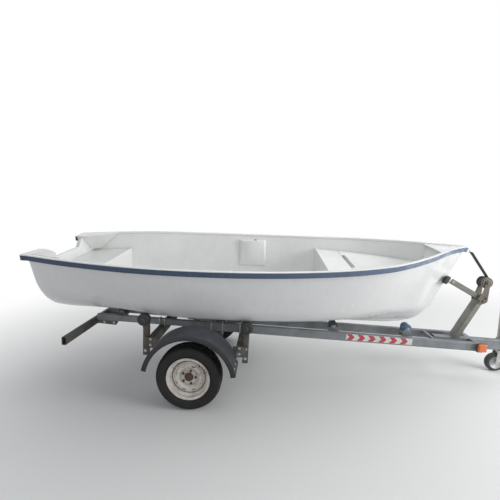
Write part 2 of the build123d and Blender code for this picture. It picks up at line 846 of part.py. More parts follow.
with BuildPart() as winch_post:
    with BuildSketch(Plane(origin=(post_foot[0], 0, post_foot[1]), x_dir=(0, 1, 0), z_dir=post_run)):
        RectangleRounded(winch_post_width, 50, 6)
    extrude(amount=post_length)
    split(bisect_by=Plane(chassis_pose), keep=Keep.TOP)
save(winch_post.part, "winch_post")


def side_plate(corners, inner_y, thickness):
    """A pair of equal upright plates, one on each side of the centreline."""
    with BuildPart() as plates:
        for side in (-1, 1):
            with BuildSketch(Plane.XZ.offset(-side * inner_y)):
                with BuildLine():
                    Polyline(*corners, close=True)
                make_face()
            extrude(amount=-side * thickness)
    return plates.part


arm_foot = (2762 + axle_x, 761)
arm_head = (2396 + axle_x, 971.7)
arm_run = (arm_head[0] - arm_foot[0], 0, arm_head[1] - arm_foot[1])
with BuildPart() as winch_frame:
    add(side_plate(
        [
            (2640 + axle_x, 805), (2668 + axle_x, 742), (2700 + axle_x, 735), (2765 + axle_x, 760),
            (2772 + axle_x, 880), (2770 + axle_x, 975), (2718 + axle_x, 985), (2690 + axle_x, 930),
        ],
        winch_post_width / 2, 4,
    ))
    with BuildSketch(Plane.XZ.offset(-winch_post_width / 2)):
        with Locations(drum_centre):
            Circle(9)
    extrude(amount=winch_post_width)
save(winch_frame.part, "winch_frame")

with BuildPart() as snubber_arm:
    with BuildSketch(Plane(origin=(arm_foot[0], 0, arm_foot[1]), x_dir=(0, 1, 0), z_dir=arm_run)):
        RectangleRounded(50, 50, 5)
    extrude(amount=math.dist(arm_foot, arm_head))
save(snubber_arm.part, "snubber_arm")

strap_half = 25
strap_wound = 44
with BuildPart() as winch_drum:
    with BuildSketch(Plane.XZ.offset(-drum_half)):
        with Locations(drum_centre):
            Circle(drum_radius)
            Circle(9, mode=Mode.SUBTRACT)
    extrude(amount=2 * drum_half)
    with BuildSketch(Plane.XZ.offset(-drum_half + 4)):
        with Locations(drum_centre):
            Circle(drum_radius)
            Circle(22, mode=Mode.SUBTRACT)
    extrude(amount=2 * drum_half - 8, mode=Mode.SUBTRACT)
save(winch_drum.part, "winch_drum")

# The strap runs tight from the drum up to the bow eye
strap_top = (1602, -33, 1246)
strap_run = Vector(strap_top[0] - drum_centre[0], 0, strap_top[2] - drum_centre[1])
with BuildPart() as winch_strap:
    with BuildSketch(Plane.XZ.offset(-strap_half)):
        with Locations(drum_centre):
            Circle(strap_wound)
            Circle(22, mode=Mode.SUBTRACT)
    extrude(amount=2 * strap_half)
    reach = strap_run.length
    turn = math.degrees(math.atan2(strap_run.Z, strap_run.X)) - math.degrees(math.acos(strap_wound / reach))
    leave = (
        drum_centre[0] + (strap_wound - 1.5) * math.cos(math.radians(turn)),
        0,
        drum_centre[1] + (strap_wound - 1.5) * math.sin(math.radians(turn)),
    )
    band_run = Vector(*strap_top) - Vector(*leave)
    with BuildSketch(Plane(origin=leave, x_dir=(0, 1, 0), z_dir=band_run)):
        Rectangle(2 * strap_half, 3)
    extrude(amount=band_run.length)
save(winch_strap.part, "winch_strap")

# Snubber: a rubber block with a notch for the stem
snubber_up = 270
with BuildPart() as snubber:
    snubber_foot = stem_plane.from_local_coords((0, snubber_up, 0))
    with BuildSketch(Plane(origin=snubber_foot, x_dir=stem_plane.z_dir, z_dir=stem_plane.y_dir)):
        with BuildLine():
            Polyline(
                (1, -16), (-45, -56), (-45, -78), (-10, -70), (26, -34),
                (26, 34), (-10, 70), (-45, 78), (-45, 56), (1, 16),
                close=True,
            )
        make_face()
    extrude(amount=75)
save(snubber.part, "snubber", boat_pose)

# Coupling head for the towing ball, in the chassis frame
ball_x = 3394.3
ball_z = -30
ball_radius = 25
with BuildPart() as coupling_head:
    with BuildSketch(Plane.XY):
        with Locations((drawbar_front_x - 40, 0)):
            Rectangle(110, drawbar_width + 12)
    extrude(amount=6)
    for side in (-1, 1):
        with Locations((drawbar_front_x - 40, side * (drawbar_width / 2 + 3), -32)):
            Box(110, 6, 64)
    with Locations((drawbar_front_x + 44, 0, -14)):
        Box(88, drawbar_width + 4, 40)
    with Locations((ball_x, 0, ball_z)):
        Sphere(38)
    with Locations((ball_x, 0, ball_z - 28)):
        Box(80, 80, 30, mode=Mode.SUBTRACT)
    with Locations((ball_x, 0, ball_z)):
        Sphere(ball_radius + 0.4, mode=Mode.SUBTRACT)
        Cylinder(ball_radius + 0.4, 40, align=(Align.CENTER, Align.CENTER, Align.MAX), mode=Mode.SUBTRACT)
save(coupling_head.part, "coupling_head", chassis_pose)

with BuildPart() as coupling_lever:
    with BuildLine(Plane.XZ) as lever_path:
        Polyline((ball_x - 60, 8), (ball_x - 60, 34), (ball_x - 10, 62), (ball_x + 25, 62))
        fillet(lever_path.vertices().sort_by(Axis.X)[1:-1].sort_by(Axis.Z)[:1], 10)
    with BuildSketch(Plane(origin=lever_path.line @ 0, z_dir=lever_path.line % 0)):
        RectangleRounded(26, 9, 3)
    sweep(transition=Transition.ROUND)
save(coupling_lever.part, "coupling_lever", chassis_pose)

# Jockey wheel, clamped to the port side of the drawbar
jockey_x = 2050
jockey_y = 80
sleeve_radius = 28.5
leg_radius = 24
running_gap = 0.05
sleeve_low = 260
sleeve_high = 660
leg_low = 236
leg_high = 600
crown_top = 228
crown_low = 216
trail = 30
caster_radius = 95
caster_half = 25

with BuildPart() as jockey_sleeve:
    with Locations((jockey_x, jockey_y, sleeve_low)):
        Cylinder(sleeve_radius, sleeve_high - sleeve_low, align=(Align.CENTER, Align.CENTER, Align.MIN))
        Cylinder(
            leg_radius + running_gap, sleeve_high - sleeve_low - 12,
            align=(Align.CENTER, Align.CENTER, Align.MIN), mode=Mode.SUBTRACT,
        )
    with Locations((jockey_x, jockey_y, sleeve_high - 12)):
        Cylinder(8 + running_gap, 12, align=(Align.CENTER, Align.CENTER, Align.MIN), mode=Mode.SUBTRACT)
save(jockey_sleeve.part, "jockey_sleeve")

with BuildPart() as jockey_clamp:
    with Locations((jockey_x, jockey_y, 300)):
        Cylinder(sleeve_radius + 7, 48, align=(Align.CENTER, Align.CENTER, Align.MIN))
    with Locations((jockey_x, (jockey_y + drawbar_width / 2) / 2, 324)):
        Box(50, jockey_y - drawbar_width / 2, 48)
    with Locations((jockey_x, jockey_y, 300)):
        Cylinder(
            sleeve_radius + 0.1, 48,
            align=(Align.CENTER, Align.CENTER, Align.MIN), mode=Mode.SUBTRACT,
        )
save(jockey_clamp.part, "jockey_clamp")

with BuildPart() as jockey_crank:
    with Locations((jockey_x, jockey_y, sleeve_high - 8)):
        Cylinder(8, 40, align=(Align.CENTER, Align.CENTER, Align.MIN))
    with Locations((jockey_x + 45, jockey_y, sleeve_high + 26)):
        Box(112, 18, 6)
    with Locations((jockey_x + 88, jockey_y, sleeve_high + 29)):
        Cylinder(11, 62, align=(Align.CENTER, Align.CENTER, Align.MIN))
save(jockey_crank.part, "jockey_crank")

with BuildPart() as jockey_leg:
    with Locations((jockey_x, jockey_y, leg_low)):
        Cylinder(leg_radius, leg_high - leg_low, align=(Align.CENTER, Align.CENTER, Align.MIN))
        Cylinder(
            12 + running_gap, 42,
            align=(Align.CENTER, Align.CENTER, Align.MIN), mode=Mode.SUBTRACT,
        )
save(jockey_leg.part, "jockey_leg")

with BuildPart() as jockey_fork:
    with Locations((jockey_x, jockey_y, crown_low)):
        Cylinder(12, 56, align=(Align.CENTER, Align.CENTER, Align.MIN))
        Box(64, 2 * caster_half + 22, crown_top - crown_low, align=(Align.CENTER, Align.CENTER, Align.MIN))
    for side in (-1, 1):
        with BuildSketch(Plane.XZ.offset(-jockey_y - side * (caster_half + 6))):
            with BuildLine():
                Polyline(
                    (jockey_x - 32, crown_low), (jockey_x + 32, crown_low), (jockey_x + 20, 160),
                    (jockey_x - trail + 18, 84), (jockey_x - trail - 18, 84),
                    close=True,
                )
            make_face()
        extrude(amount=-side * 5)
    with BuildSketch(Plane.XZ.offset(-jockey_y - caster_half - 14)):
        with Locations((jockey_x - trail, caster_radius)):
            Circle(6)
    extrude(amount=2 * caster_half + 28)
save(jockey_fork.part, "jockey_fork")

with BuildPart() as jockey_rim:
    with BuildSketch(Plane.XZ.offset(-jockey_y - caster_half)):
        with Locations((jockey_x - trail, caster_radius)):
            Circle(64)
            Circle(6 + running_gap, mode=Mode.SUBTRACT)
    extrude(amount=2 * caster_half)
save(jockey_rim.part, "jockey_rim")

caster_profile = [
    (64, -caster_half), (84, -caster_half), (92, -caster_half + 6), (caster_radius, -caster_half + 14),
    (caster_radius, caster_half - 14), (92, caster_half - 6), (84, caster_half), (64, caster_half),
]
with BuildPart() as jockey_tyre:
    add(turned(caster_profile).moved(Location((jockey_x - trail, jockey_y, caster_radius), (90, 0, 0))))
save(jockey_tyre.part, "jockey_tyre")

# Marker lamps at the ends of the front crossbar
lamp_y = rail_y + 45
lamp_z = -30
lamp_width = 84
lamp_depth = 25.5
with BuildPart() as marker_lamps:
    for side in (-1, 1):
        with Locations((front_crossbar_x + 9, side * (lamp_y + lamp_depth / 2), lamp_z)):
            Box(lamp_width, lamp_depth, lamp_width)
save(marker_lamps.part, "marker_lamps", chassis_pose)
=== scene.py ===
import math

import bmesh
import bpy
from mathutils import Matrix, Vector


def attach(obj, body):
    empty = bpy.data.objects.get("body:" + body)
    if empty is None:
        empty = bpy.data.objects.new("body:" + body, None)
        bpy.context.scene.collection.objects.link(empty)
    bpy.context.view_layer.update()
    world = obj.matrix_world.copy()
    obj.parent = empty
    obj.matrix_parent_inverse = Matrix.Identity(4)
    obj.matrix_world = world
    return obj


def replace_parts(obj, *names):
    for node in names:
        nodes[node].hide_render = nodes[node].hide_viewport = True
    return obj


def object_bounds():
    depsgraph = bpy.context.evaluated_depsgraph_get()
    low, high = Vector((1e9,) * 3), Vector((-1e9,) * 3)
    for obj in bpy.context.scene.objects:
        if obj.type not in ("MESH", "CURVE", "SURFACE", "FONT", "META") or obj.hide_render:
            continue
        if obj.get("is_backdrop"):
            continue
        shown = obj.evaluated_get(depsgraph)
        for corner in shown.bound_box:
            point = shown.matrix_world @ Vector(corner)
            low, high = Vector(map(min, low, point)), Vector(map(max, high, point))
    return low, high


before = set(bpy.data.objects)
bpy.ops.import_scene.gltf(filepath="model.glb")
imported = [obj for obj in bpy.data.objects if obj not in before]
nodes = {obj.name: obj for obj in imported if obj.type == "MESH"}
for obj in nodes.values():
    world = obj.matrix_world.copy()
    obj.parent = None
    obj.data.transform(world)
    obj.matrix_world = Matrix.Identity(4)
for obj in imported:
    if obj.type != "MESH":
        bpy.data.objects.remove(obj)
cad_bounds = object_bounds()
collection = bpy.context.scene.collection

# Camera: a wide lens at standing height, level with the middle of the near side, turned a
# little to the stern and tipped down on the boat.
camera_data = bpy.data.cameras.new("photo_camera")
camera_data.sensor_width = 36
camera_data.lens = 21.6
camera = bpy.data.objects.new("photo_camera", camera_data)
camera.location = (-0.326, -2.948, 1.664)
camera.rotation_euler = (math.radians(90 - 8.1), 0, math.radians(3.211))
collection.objects.link(camera)
bpy.context.scene.camera = camera

# Studio: a pale floor that fades to white far off, a white surround that only the camera and
# gloss see, and softboxes over the boat, on its near side and off its bow.
bpy.context.scene.view_settings.view_transform = "Standard"


def put(tree, kind, sockets=None, **settings):
    """Adds a shader node; a socket's value may be another node's output."""
    node = tree.nodes.new(kind)
    for name, value in settings.items():
        setattr(node, name, value)
    for name, value in (sockets or {}).items():
        if isinstance(value, bpy.types.NodeSocket):
            tree.links.new(value, node.inputs[name])
        else:
            node.inputs[name].default_value = value
    return node


def calculated(tree, operation, *values, clamp=False):
    """The result of a sum; a value may be another node's output."""
    return put(
        tree, "ShaderNodeMath", dict(enumerate(values)), operation=operation, use_clamp=clamp
    ).outputs[0]


def object_point(tree):
    return put(tree, "ShaderNodeTexCoord").outputs["Object"]


def seen_by_lens(tree):
    """One where a ray comes straight from the lens, or by way of gloss or glass."""
    rays = put(tree, "ShaderNodeLightPath").outputs
    direct = calculated(tree, "MAXIMUM", rays["Is Camera Ray"], rays["Is Glossy Ray"])
    return calculated(tree, "MAXIMUM", direct, rays["Is Transmission Ray"])


world = bpy.data.worlds.new("studio")
bpy.context.scene.world = world
world.use_nodes = True
world.node_tree.nodes.clear()
sky_tree = world.node_tree
soft_sky = put(sky_tree, "ShaderNodeBackground", {"Color": (0.90, 0.95, 1, 1), "Strength": 0.40})
white_wall = put(sky_tree, "ShaderNodeBackground", {"Color": (1, 1, 1, 1), "Strength": 1.0})
surround = put(
    sky_tree, "ShaderNodeMixShader",
    {0: seen_by_lens(sky_tree), 1: soft_sky.outputs[0], 2: white_wall.outputs[0]},
)
put(sky_tree, "ShaderNodeOutputWorld", {0: surround.outputs[0]})

floor_half, fade_from, fade_to = 30, 1.6, 5.5
floor_mesh = bpy.data.meshes.new("floor")
floor_mesh.from_pydata(
    [(x * floor_half, y * floor_half, 0) for x, y in ((-1, -1), (1, -1), (1, 1), (-1, 1))], [],
    [(0, 1, 2, 3)],
)
floor = bpy.data.objects.new("floor", floor_mesh)
collection.objects.link(floor)
floor_paint = bpy.data.materials.new("floor")
floor_paint.use_nodes = True
floor_tree = floor_paint.node_tree
floor_shader = floor_tree.nodes["Principled BSDF"]
floor_shader.inputs["Base Color"].default_value = (0.72, 0.72, 0.71, 1)
floor_shader.inputs["Roughness"].default_value = 0.7
outward = put(floor_tree, "ShaderNodeVectorMath", {0: object_point(floor_tree)}, operation="LENGTH")
far_off = put(
    floor_tree, "ShaderNodeMapRange",
    {"Value": outward.outputs["Value"], "From Min": fade_from, "From Max": fade_to},
    interpolation_type="SMOOTHSTEP",
)
faded = calculated(floor_tree, "MULTIPLY", far_off.outputs[0], seen_by_lens(floor_tree))
far_white = put(floor_tree, "ShaderNodeEmission", {"Color": (1, 1, 1, 1), "Strength": 1.0})
floor_mix = put(
    floor_tree, "ShaderNodeMixShader", {0: faded, 1: floor_shader.outputs[0], 2: far_white.outputs[0]}
)
floor_tree.links.new(floor_mix.outputs[0], floor_tree.nodes["Material Output"].inputs["Surface"])
floor_mesh.materials.append(floor_paint)
floor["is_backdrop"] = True

for name, place, aim, size, power in (
    ("over_boat", (0.4, 1.0, 4.4), (0, 0.1, 0.6), 4.2, 100),
    ("near_fill", (-1.6, -5.0, 2.2), (0, 0, 0.7), 3.0, 26),
    ("bow_door", (5.2, -1.8, 2.3), (0.8, 0, 0.9), 2.6, 230),
):
    lamp_data = bpy.data.lights.new(name, "AREA")
    lamp_data.size = size
    lamp_data.energy = power
    lamp = bpy.data.objects.new(name, lamp_data)
    lamp.location = place
    lamp.rotation_euler = (Vector(aim) - Vector(place)).to_track_quat("-Z", "Y").to_euler()
    collection.objects.link(lamp)

# Hull: one moulding of white gelcoat over glass fibre, 7 mm thick, faired along its length.
# It lies heeled to starboard on its rollers, and years of rain have streaked it.
heel, trim = math.radians(7.0), math.radians(1.3)
boat = (
    Matrix.Translation((-2.330, 0.045, 0.6065)) @ Matrix.Rotation(heel, 4, "X")
    @ Matrix.Rotation(trim, 4, "Y") @ Matrix.Scale(0.001, 4)
)
skin = 7
stations = [
    # foot_x, foot_z, lean, rise, half_beam, bilge_y, bilge_up, bilge_radius
    (0, 95, -83, 592, 456, 448, 65, 395),
    (600, 57, -30, 630, 622, 482, 175, 308),
    (1200, 0, -10, 677, 682, 494, 167, 344),
    (1900, 0, 0, 675, 676, 500, 163, 310),
    (2500, 0, 15, 684, 613, 450, 172, 300),
    (2960, 0, 50, 704, 497, 320, 190, 260),
    (3280, 0, 120, 734, 292, 175, 185, 220),
    (3480, 30, 160, 725, 117, 62, 140, 150),
    (3620, 170, 215, 597, 14, 10, 20, 15),
]


def mixed(weights, rows):
    """Rows added up by their weights."""
    return [sum(weight * row[k] for weight, row in zip(weights, rows)) for k in range(len(rows[0]))]


faired = [list(stations[0]), mixed((3 / 8, 6 / 8, -1 / 8), stations[:3])]
for k in range(1, len(stations) - 2):
    faired += [list(stations[k]), mixed((-1 / 16, 9 / 16, 9 / 16, -1 / 16), stations[k - 1:k + 3])]
faired += [list(stations[-2]), mixed((-1 / 8, 6 / 8, 3 / 8), stations[-3:]), list(stations[-1])]
bays = len(faired) - 1


def smoothly(rows, u):
    """The row u steps along, on a smooth curve through all of them."""
    last = len(rows) - 1
    k = min(int(u), last - 1)
    t = u - k
    before = rows[k - 1] if k > 0 else mixed((2, -1), rows[:2])
    after = rows[k + 2] if k + 2 <= last else mixed((2, -1), [rows[-1], rows[-2]])
    weights = (
        (-t + 2 * t * t - t**3) / 2, (2 - 5 * t * t + 3 * t**3) / 2,
        (t + 4 * t * t - 3 * t**3) / 2, (t**3 - t * t) / 2,
    )
    return mixed(weights, [before, rows[k], rows[k + 1], after])


def station_at(u):
    """The station u bays ahead of the stern."""
    return smoothly(faired, u)


flat_steps, bilge_steps = 6, 12


def half_section(row, inset):
    """One side of the hull from keel to sheer, as (y, up) points set in from its face."""
    beam, bilge_y, bilge_up, radius = row[4:]
    corner = Vector((bilge_y - inset, bilge_up + inset))
    top = Vector((beam - inset, math.hypot(row[2], row[3])))
    floor_way = Vector((corner.x, bilge_up)).normalized()
    topside_way = (top - corner).normalized()
    turn = floor_way.angle(topside_way)
    radius = max(radius - inset, 2)
    low = corner - floor_way * radius * math.tan(turn / 2)
    high = corner + topside_way * radius * math.tan(turn / 2)
    hub = low + Vector((-floor_way.y, floor_way.x)) * radius
    points = [Vector((0, inset)).lerp(low, k / flat_steps) for k in range(flat_steps)]
    for k in range(bilge_steps + 1):
        spoke = low - hub
        spoke.rotate(Matrix.Rotation(turn * k / bilge_steps, 2))
        points.append(hub + spoke)
    return points + [high.lerp(top, k / flat_steps) for k in range(1, flat_steps + 1)]


def on_hull(row, y, up, ahead=0):
    """A point of a station's leaning plane, or a distance ahead of it, in the world."""
    top = math.hypot(row[2], row[3])
    along, upward = row[2] / top, row[3] / top
    return boat @ Vector((row[0] + up * along + ahead * upward, y, row[1] + up * upward - ahead * along))


def across(row, inset, ahead=0, squeeze=1):
    """A whole section, from the port sheer under the keel to the starboard sheer."""
    half = half_section(row, inset)
    sides = [(point.x * squeeze, point.y) for point in half]
    return [on_hull(row, y, up, ahead) for y, up in reversed(sides)] + [
        on_hull(row, -y, up, ahead) for y, up in sides[1:]
    ]


def skinned(rings, closed=False):
    """Quads between one ring of points and the next."""
    count = len(rings[0])
    last = count if closed else count - 1
    faces = []
    for k in range(len(rings) - 1):
        for j in range(last):
            here, beside = k * count + j, k * count + (j + 1) % count
            faces.append((here, beside, beside + count, here + count))
    return [point for ring in rings for point in ring], faces


def placed(name, mesh, material, body, crease):
    """Puts a mesh in the scene, smooth up to a crease, to ride on a body."""
    mesh.materials.append(material)
    mesh.shade_smooth()
    mesh.set_sharp_from_angle(angle=math.radians(crease))
    made = bpy.data.objects.new(name, mesh)
    collection.objects.link(made)
    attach(made, body)
    return made


def add_piece(name, points, faces, material, slot, body="outfit", crease=40):
    """A piece from points in the world and the faces between them."""
    mesh = bpy.data.meshes.new(name)
    mesh.from_pydata([tuple(point) for point in points], [], faces)
    shaped = bmesh.new()
    shaped.from_mesh(mesh)
    bmesh.ops.recalc_face_normals(shaped, faces=shaped.faces)
    shaped.to_mesh(mesh)
    shaped.free()
    return placed(name, mesh, material, body, crease)


def new_group(name, inputs, outputs):
    """A shader node group with the given sockets, each (name, kind, default)."""
    tree = bpy.data.node_groups.new(name, "ShaderNodeTree")
    for label, kind, default in inputs:
        socket = tree.interface.new_socket(label, in_out="INPUT", socket_type=f"NodeSocket{kind}")
        socket.default_value = default
    for label, kind in outputs:
        tree.interface.new_socket(label, in_out="OUTPUT", socket_type=f"NodeSocket{kind}")
    return tree, tree.nodes.new("NodeGroupInput").outputs, tree.nodes.new("NodeGroupOutput").inputs


def use_group(tree, group, sockets):
    """The outputs of a node group placed in a material."""
    return put(tree, "ShaderNodeGroup", sockets, node_tree=group).outputs


def tinted(tree, share, under, over):
    """One colour over another by a share."""
    return put(tree, "ShaderNodeMix", {0: share, 6: under, 7: over}, data_type="RGBA").outputs[2]


grime, given, result = new_group(
    "grime",
    [
        ("Clean", "Color", (0.8, 0.8, 0.8, 1)), ("Dirt", "Color", (0.2, 0.18, 0.15, 1)),
        ("Patch Size", "Float", 3.0), ("Patches", "Float", 0.3), ("Runs", "Float", 0.3),
    ],
    [("Color", "Color"), ("Mask", "Float"), ("Height", "Float")],
)
where = object_point(grime)
patches = put(
    grime, "ShaderNodeTexNoise",
    {"Vector": where, "Scale": given["Patch Size"], "Detail": 8, "Roughness": 0.62},
).outputs["Fac"]
patch_mask = put(grime, "ShaderNodeMapRange", {"Value": patches, "From Min": 0.42, "From Max": 0.75})
tall = put(grime, "ShaderNodeMapping", {"Vector": where, "Scale": (14, 14, 1.1)}).outputs[0]
runs = put(grime, "ShaderNodeTexNoise", {"Vector": tall, "Scale": 1.6, "Detail": 6, "Roughness": 0.6})
run_mask = put(
    grime, "ShaderNodeMapRange", {"Value": runs.outputs["Fac"], "From Min": 0.5, "From Max": 0.8}
)
weighted = calculated(grime, "MULTIPLY", patch_mask.outputs[0], given["Patches"])
dirty = calculated(grime, "MULTIPLY_ADD", run_mask.outputs[0], given["Runs"], weighted, clamp=True)
grime.links.new(tinted(grime, dirty, given["Clean"], given["Dirt"]), result["Color"])
grime.links.new(dirty, result["Mask"])
grime.links.new(patches, result["Height"])

chips, given, result = new_group(
    "chips",
    [
        ("Color", "Color", (0.8, 0.8, 0.8, 1)), ("Under", "Color", (0.3, 0.15, 0.08, 1)),
        ("Size", "Float", 60.0), ("Share", "Float", 0.2),
    ],
    [("Color", "Color"), ("Mask", "Float")],
)
where = object_point(chips)
fine = put(
    chips, "ShaderNodeTexNoise", {"Vector": where, "Scale": given["Size"], "Detail": 5, "Roughness": 0.7}
)
broad = put(chips, "ShaderNodeTexNoise", {"Vector": where, "Scale": 4.5, "Detail": 3})
both = calculated(chips, "MULTIPLY", fine.outputs["Fac"], broad.outputs["Fac"])
level = put(chips, "ShaderNodeMapRange", {"Value": given["Share"], "To Min": 0.48, "To Max": 0.14})
edge_sharpness = 22.0
above = calculated(chips, "SUBTRACT", both, level.outputs[0])
chip_mask = calculated(chips, "MULTIPLY", above, edge_sharpness, clamp=True)
chips.links.new(tinted(chips, chip_mask, given["Color"], given["Under"]), result["Color"])
chips.links.new(chip_mask, result["Mask"])


def weathered(
    name, clean, dirt, rough, metal=0.0, patch=3.0, patches=0.3, runs=0.2, bump=0.05, coat=0.0, chip=None
):
    """A worn finish: a clean colour, dirt in patches and runs, chips, and a slight unevenness.

    A chip is its colour, size, share of the surface and roughness.
    """
    material = bpy.data.materials.new(name)
    material.use_nodes = True
    tree = material.node_tree
    shader = tree.nodes["Principled BSDF"]
    shader.inputs["Metallic"].default_value = metal
    shader.inputs["Coat Weight"].default_value = coat
    layer = use_group(tree, grime, {
        "Clean": (*clean, 1), "Dirt": (*dirt, 1), "Patch Size": patch, "Patches": patches, "Runs": runs,
    })
    dulled = put(
        tree, "ShaderNodeMapRange",
        {"Value": layer["Mask"], "To Min": rough, "To Max": min(rough + 0.35, 1)},
    )
    colour, roughness = layer["Color"], dulled.outputs[0]
    if chip:
        under, size, share, chip_rough = chip
        spots = use_group(
            tree, chips, {"Color": colour, "Under": (*under, 1), "Size": size, "Share": share}
        )
        colour = spots["Color"]
        roughness = put(
            tree, "ShaderNodeMix", {0: spots["Mask"], 2: roughness, 3: chip_rough}
        ).outputs[0]
    tree.links.new(colour, shader.inputs["Base Color"])
    tree.links.new(roughness, shader.inputs["Roughness"])
    uneven = put(tree, "ShaderNodeBump", {"Height": layer["Height"], "Strength": bump, "Distance": 0.002})
    tree.links.new(uneven.outputs[0], shader.inputs["Normal"])
    return material


gelcoat_outside = weathered(
    "gelcoat_outside", (0.70, 0.70, 0.70), (0.38, 0.36, 0.33), 0.24, patch=1.3, patches=0.14, runs=0.11,
    bump=0.006, coat=0.4, chip=((0.48, 0.46, 0.42), 150, 0.07, 0.5),
)
gelcoat_inside = weathered(
    "gelcoat_inside", (0.74, 0.745, 0.73), (0.42, 0.41, 0.37), 0.36, patch=2.6, patches=0.20, runs=0.10,
    bump=0.02, chip=((0.45, 0.43, 0.38), 90, 0.18, 0.7),
)

rings = [across(station_at(0), 5), across(station_at(0.005), 1.5), across(station_at(0.017), 0)]
rings += [across(station_at(k / 4), 0) for k in range(1, 4 * bays + 1)]
for ahead, squeeze in ((3, 0.85), (5.5, 0.5), (6, 0.02)):
    rings.append(across(station_at(bays), 0, ahead, squeeze))
add_piece("hull_outside", *skinned(rings), gelcoat_outside, "gelcoat_white")
rings = [across(station_at(k / 4), skin) for k in range(4 * bays + 1)]
hull_inside = add_piece("hull_inside", *skinned(rings), gelcoat_inside, "gelcoat_inside")
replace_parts(hull_inside, "hull_shell")

# Gunwale cap: a lipped white moulding bonded over the sheer, carried round the stem head and
# out over the transom in a flat rim at each quarter.
cap_out = 25
cap_outline = [
    # out, up
    (-9, 0), (-9, 21.5), (-7.6, 25), (-4, 27), (8, 27.4), (20, 27), (23.6, 25.6), (cap_out, 23),
    (cap_out, 21), (24, 20), (6, 20), (6, 0),
]
lap_ends, lap_fade = 320, 60


def along_sheer(outline, lap=0):
    """Rings of a rail's profile, from the port quarter round the stem to the starboard one.

    The lap carries its inner top edge over the quarter knees.
    """
    rings = []
    for row, degrees in (
        [(station_at(k / 4), 0) for k in range(4 * bays + 1)]
        + [(station_at(bays), degrees) for degrees in range(12, 169, 12)]
        + [(station_at(k / 4), 180) for k in range(4 * bays, -1, -1)]
    ):
        top = math.hypot(row[2], row[3])
        over = lap * min(max((lap_ends - row[0]) / lap_fade, 0), 1)
        reach = [
            max(row[4] + out - (over if out < 0 and up > 10 else 0), 0.5) for out, up in outline
        ]
        turn = math.radians(degrees)
        rings.append([
            on_hull(row, radius * math.cos(turn), top + up, radius * math.sin(turn))
            for radius, (out, up) in zip(reach, outline)
        ])
    return rings


def solid(loops):
    """Faces of a solid made of equal loops of points, closed at both ends."""
    points, faces = skinned(loops, closed=True)
    count = len(loops[0])
    return points, faces + [tuple(range(count))[::-1], tuple(range(len(points) - count, len(points)))]


def joined(parts):
    """Several sets of points and faces as one."""
    points, faces = [], []
    for more_points, more_faces in parts:
        faces += [tuple(len(points) + k for k in face) for face in more_faces]
        points += more_points
    return points, faces


sheer_z = 687
beam = stations[0][4]


def quarter_rim(inset, z, side):
    """Plan of a quarter's rim at one height, its outboard corners rounded."""
    edge = beam + cap_out - inset
    return [
        boat @ Vector((x, side * y, z)) for x, y in [
            (-46, 268), (-110 + inset, 268), (-120 + inset, 276), (-136 + inset, 372),
            (-149 + inset, 440), (-150 + inset, beam - 6), (-146 + inset, beam + 8 - inset / 2),
            (-135 + inset, edge - 5), (-118 + inset / 2, edge), (-83, edge), (-83, beam - 9),
            (-46, beam - 9),
        ]
    ]


# inset, up
rim_levels = ((19, 0), (19, 20), (1, 20), (0, 21), (0, 23), (1.4, 25.6), (5, 27))
pieces = [solid(along_sheer(cap_outline, lap=10))]
for side in (-1, 1):
    pieces.append(solid([quarter_rim(inset, sheer_z + up, side) for inset, up in rim_levels]))
gunwale_cap = add_piece("gunwale_moulding", *joined(pieces), gelcoat_outside, "gelcoat_white", crease=50)
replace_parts(gunwale_cap, "gunwale_cap")

# Rubbing strake: a dark blue rubber band under the cap's lip, right round the boat. Quays and
# jetties have scuffed it, most towards the bow, and its blue is painted lighter towards the bow as painted
# light.
strake_outline = [
    # out, up
    (6.5, 19.5), (21, 19.5), (23.9, 18.4), (25, 15), (26, 6), (26, -9), (25, -19), (23.7, -22.8),
    (20, -24), (-4, -24), (-4, -0.5), (6.5, -0.5),
]
rubber_blue = weathered(
    "rubber_blue", (0.026, 0.052, 0.100), (0.085, 0.115, 0.16), 0.6, patch=30, patches=0.8, runs=0.25,
    bump=0.3, chip=((0.30, 0.34, 0.41), 210, 0.30, 0.8),
)
strake_tree = rubber_blue.node_tree
forward = put(strake_tree, "ShaderNodeSeparateXYZ", {0: object_point(strake_tree)}).outputs["X"]
scuffs = put(
    strake_tree, "ShaderNodeMapRange",
    {"Value": forward, "From Min": -0.6, "From Max": 1.3, "To Min": 0.16, "To Max": 0.62},
)
# Painted light: the strake's clean blue is tinted paler towards the bow, where the light falls on it.
bow_light_share = put(strake_tree, "ShaderNodeMapRange", {"Value": forward, "From Min": -0.8, "From Max": 1.4})
painted_bow_light = tinted(strake_tree, bow_light_share.outputs[0], (0.026, 0.050, 0.096, 1), (0.150, 0.205, 0.290, 1))
for node in strake_tree.nodes:
    if node.type == "GROUP" and node.node_tree == chips:
        strake_tree.links.new(scuffs.outputs[0], node.inputs["Share"])
    if node.type == "GROUP" and node.node_tree == grime:
        strake_tree.links.new(painted_bow_light, node.inputs["Clean"])
pieces = [solid(along_sheer(strake_outline))]
for side in (-1, 1):
    rings = []
    for out, up in strake_outline:
        ring = quarter_rim(cap_out - min(max(out, 6.5), cap_out), sheer_z + up, side)
        rings.append(ring[1:10])
    pieces.append(solid(list(zip(*rings))))
strake = add_piece("strake_band", *joined(pieces), rubber_blue, "strake_blue", crease=50)
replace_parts(strake, "rubbing_strake")

# Transom, quarter knees, benches, seats and pads: white mouldings bonded into the hull, every
# edge of them rounded by the mould. The motor pad is the same gelcoat, scuffed.


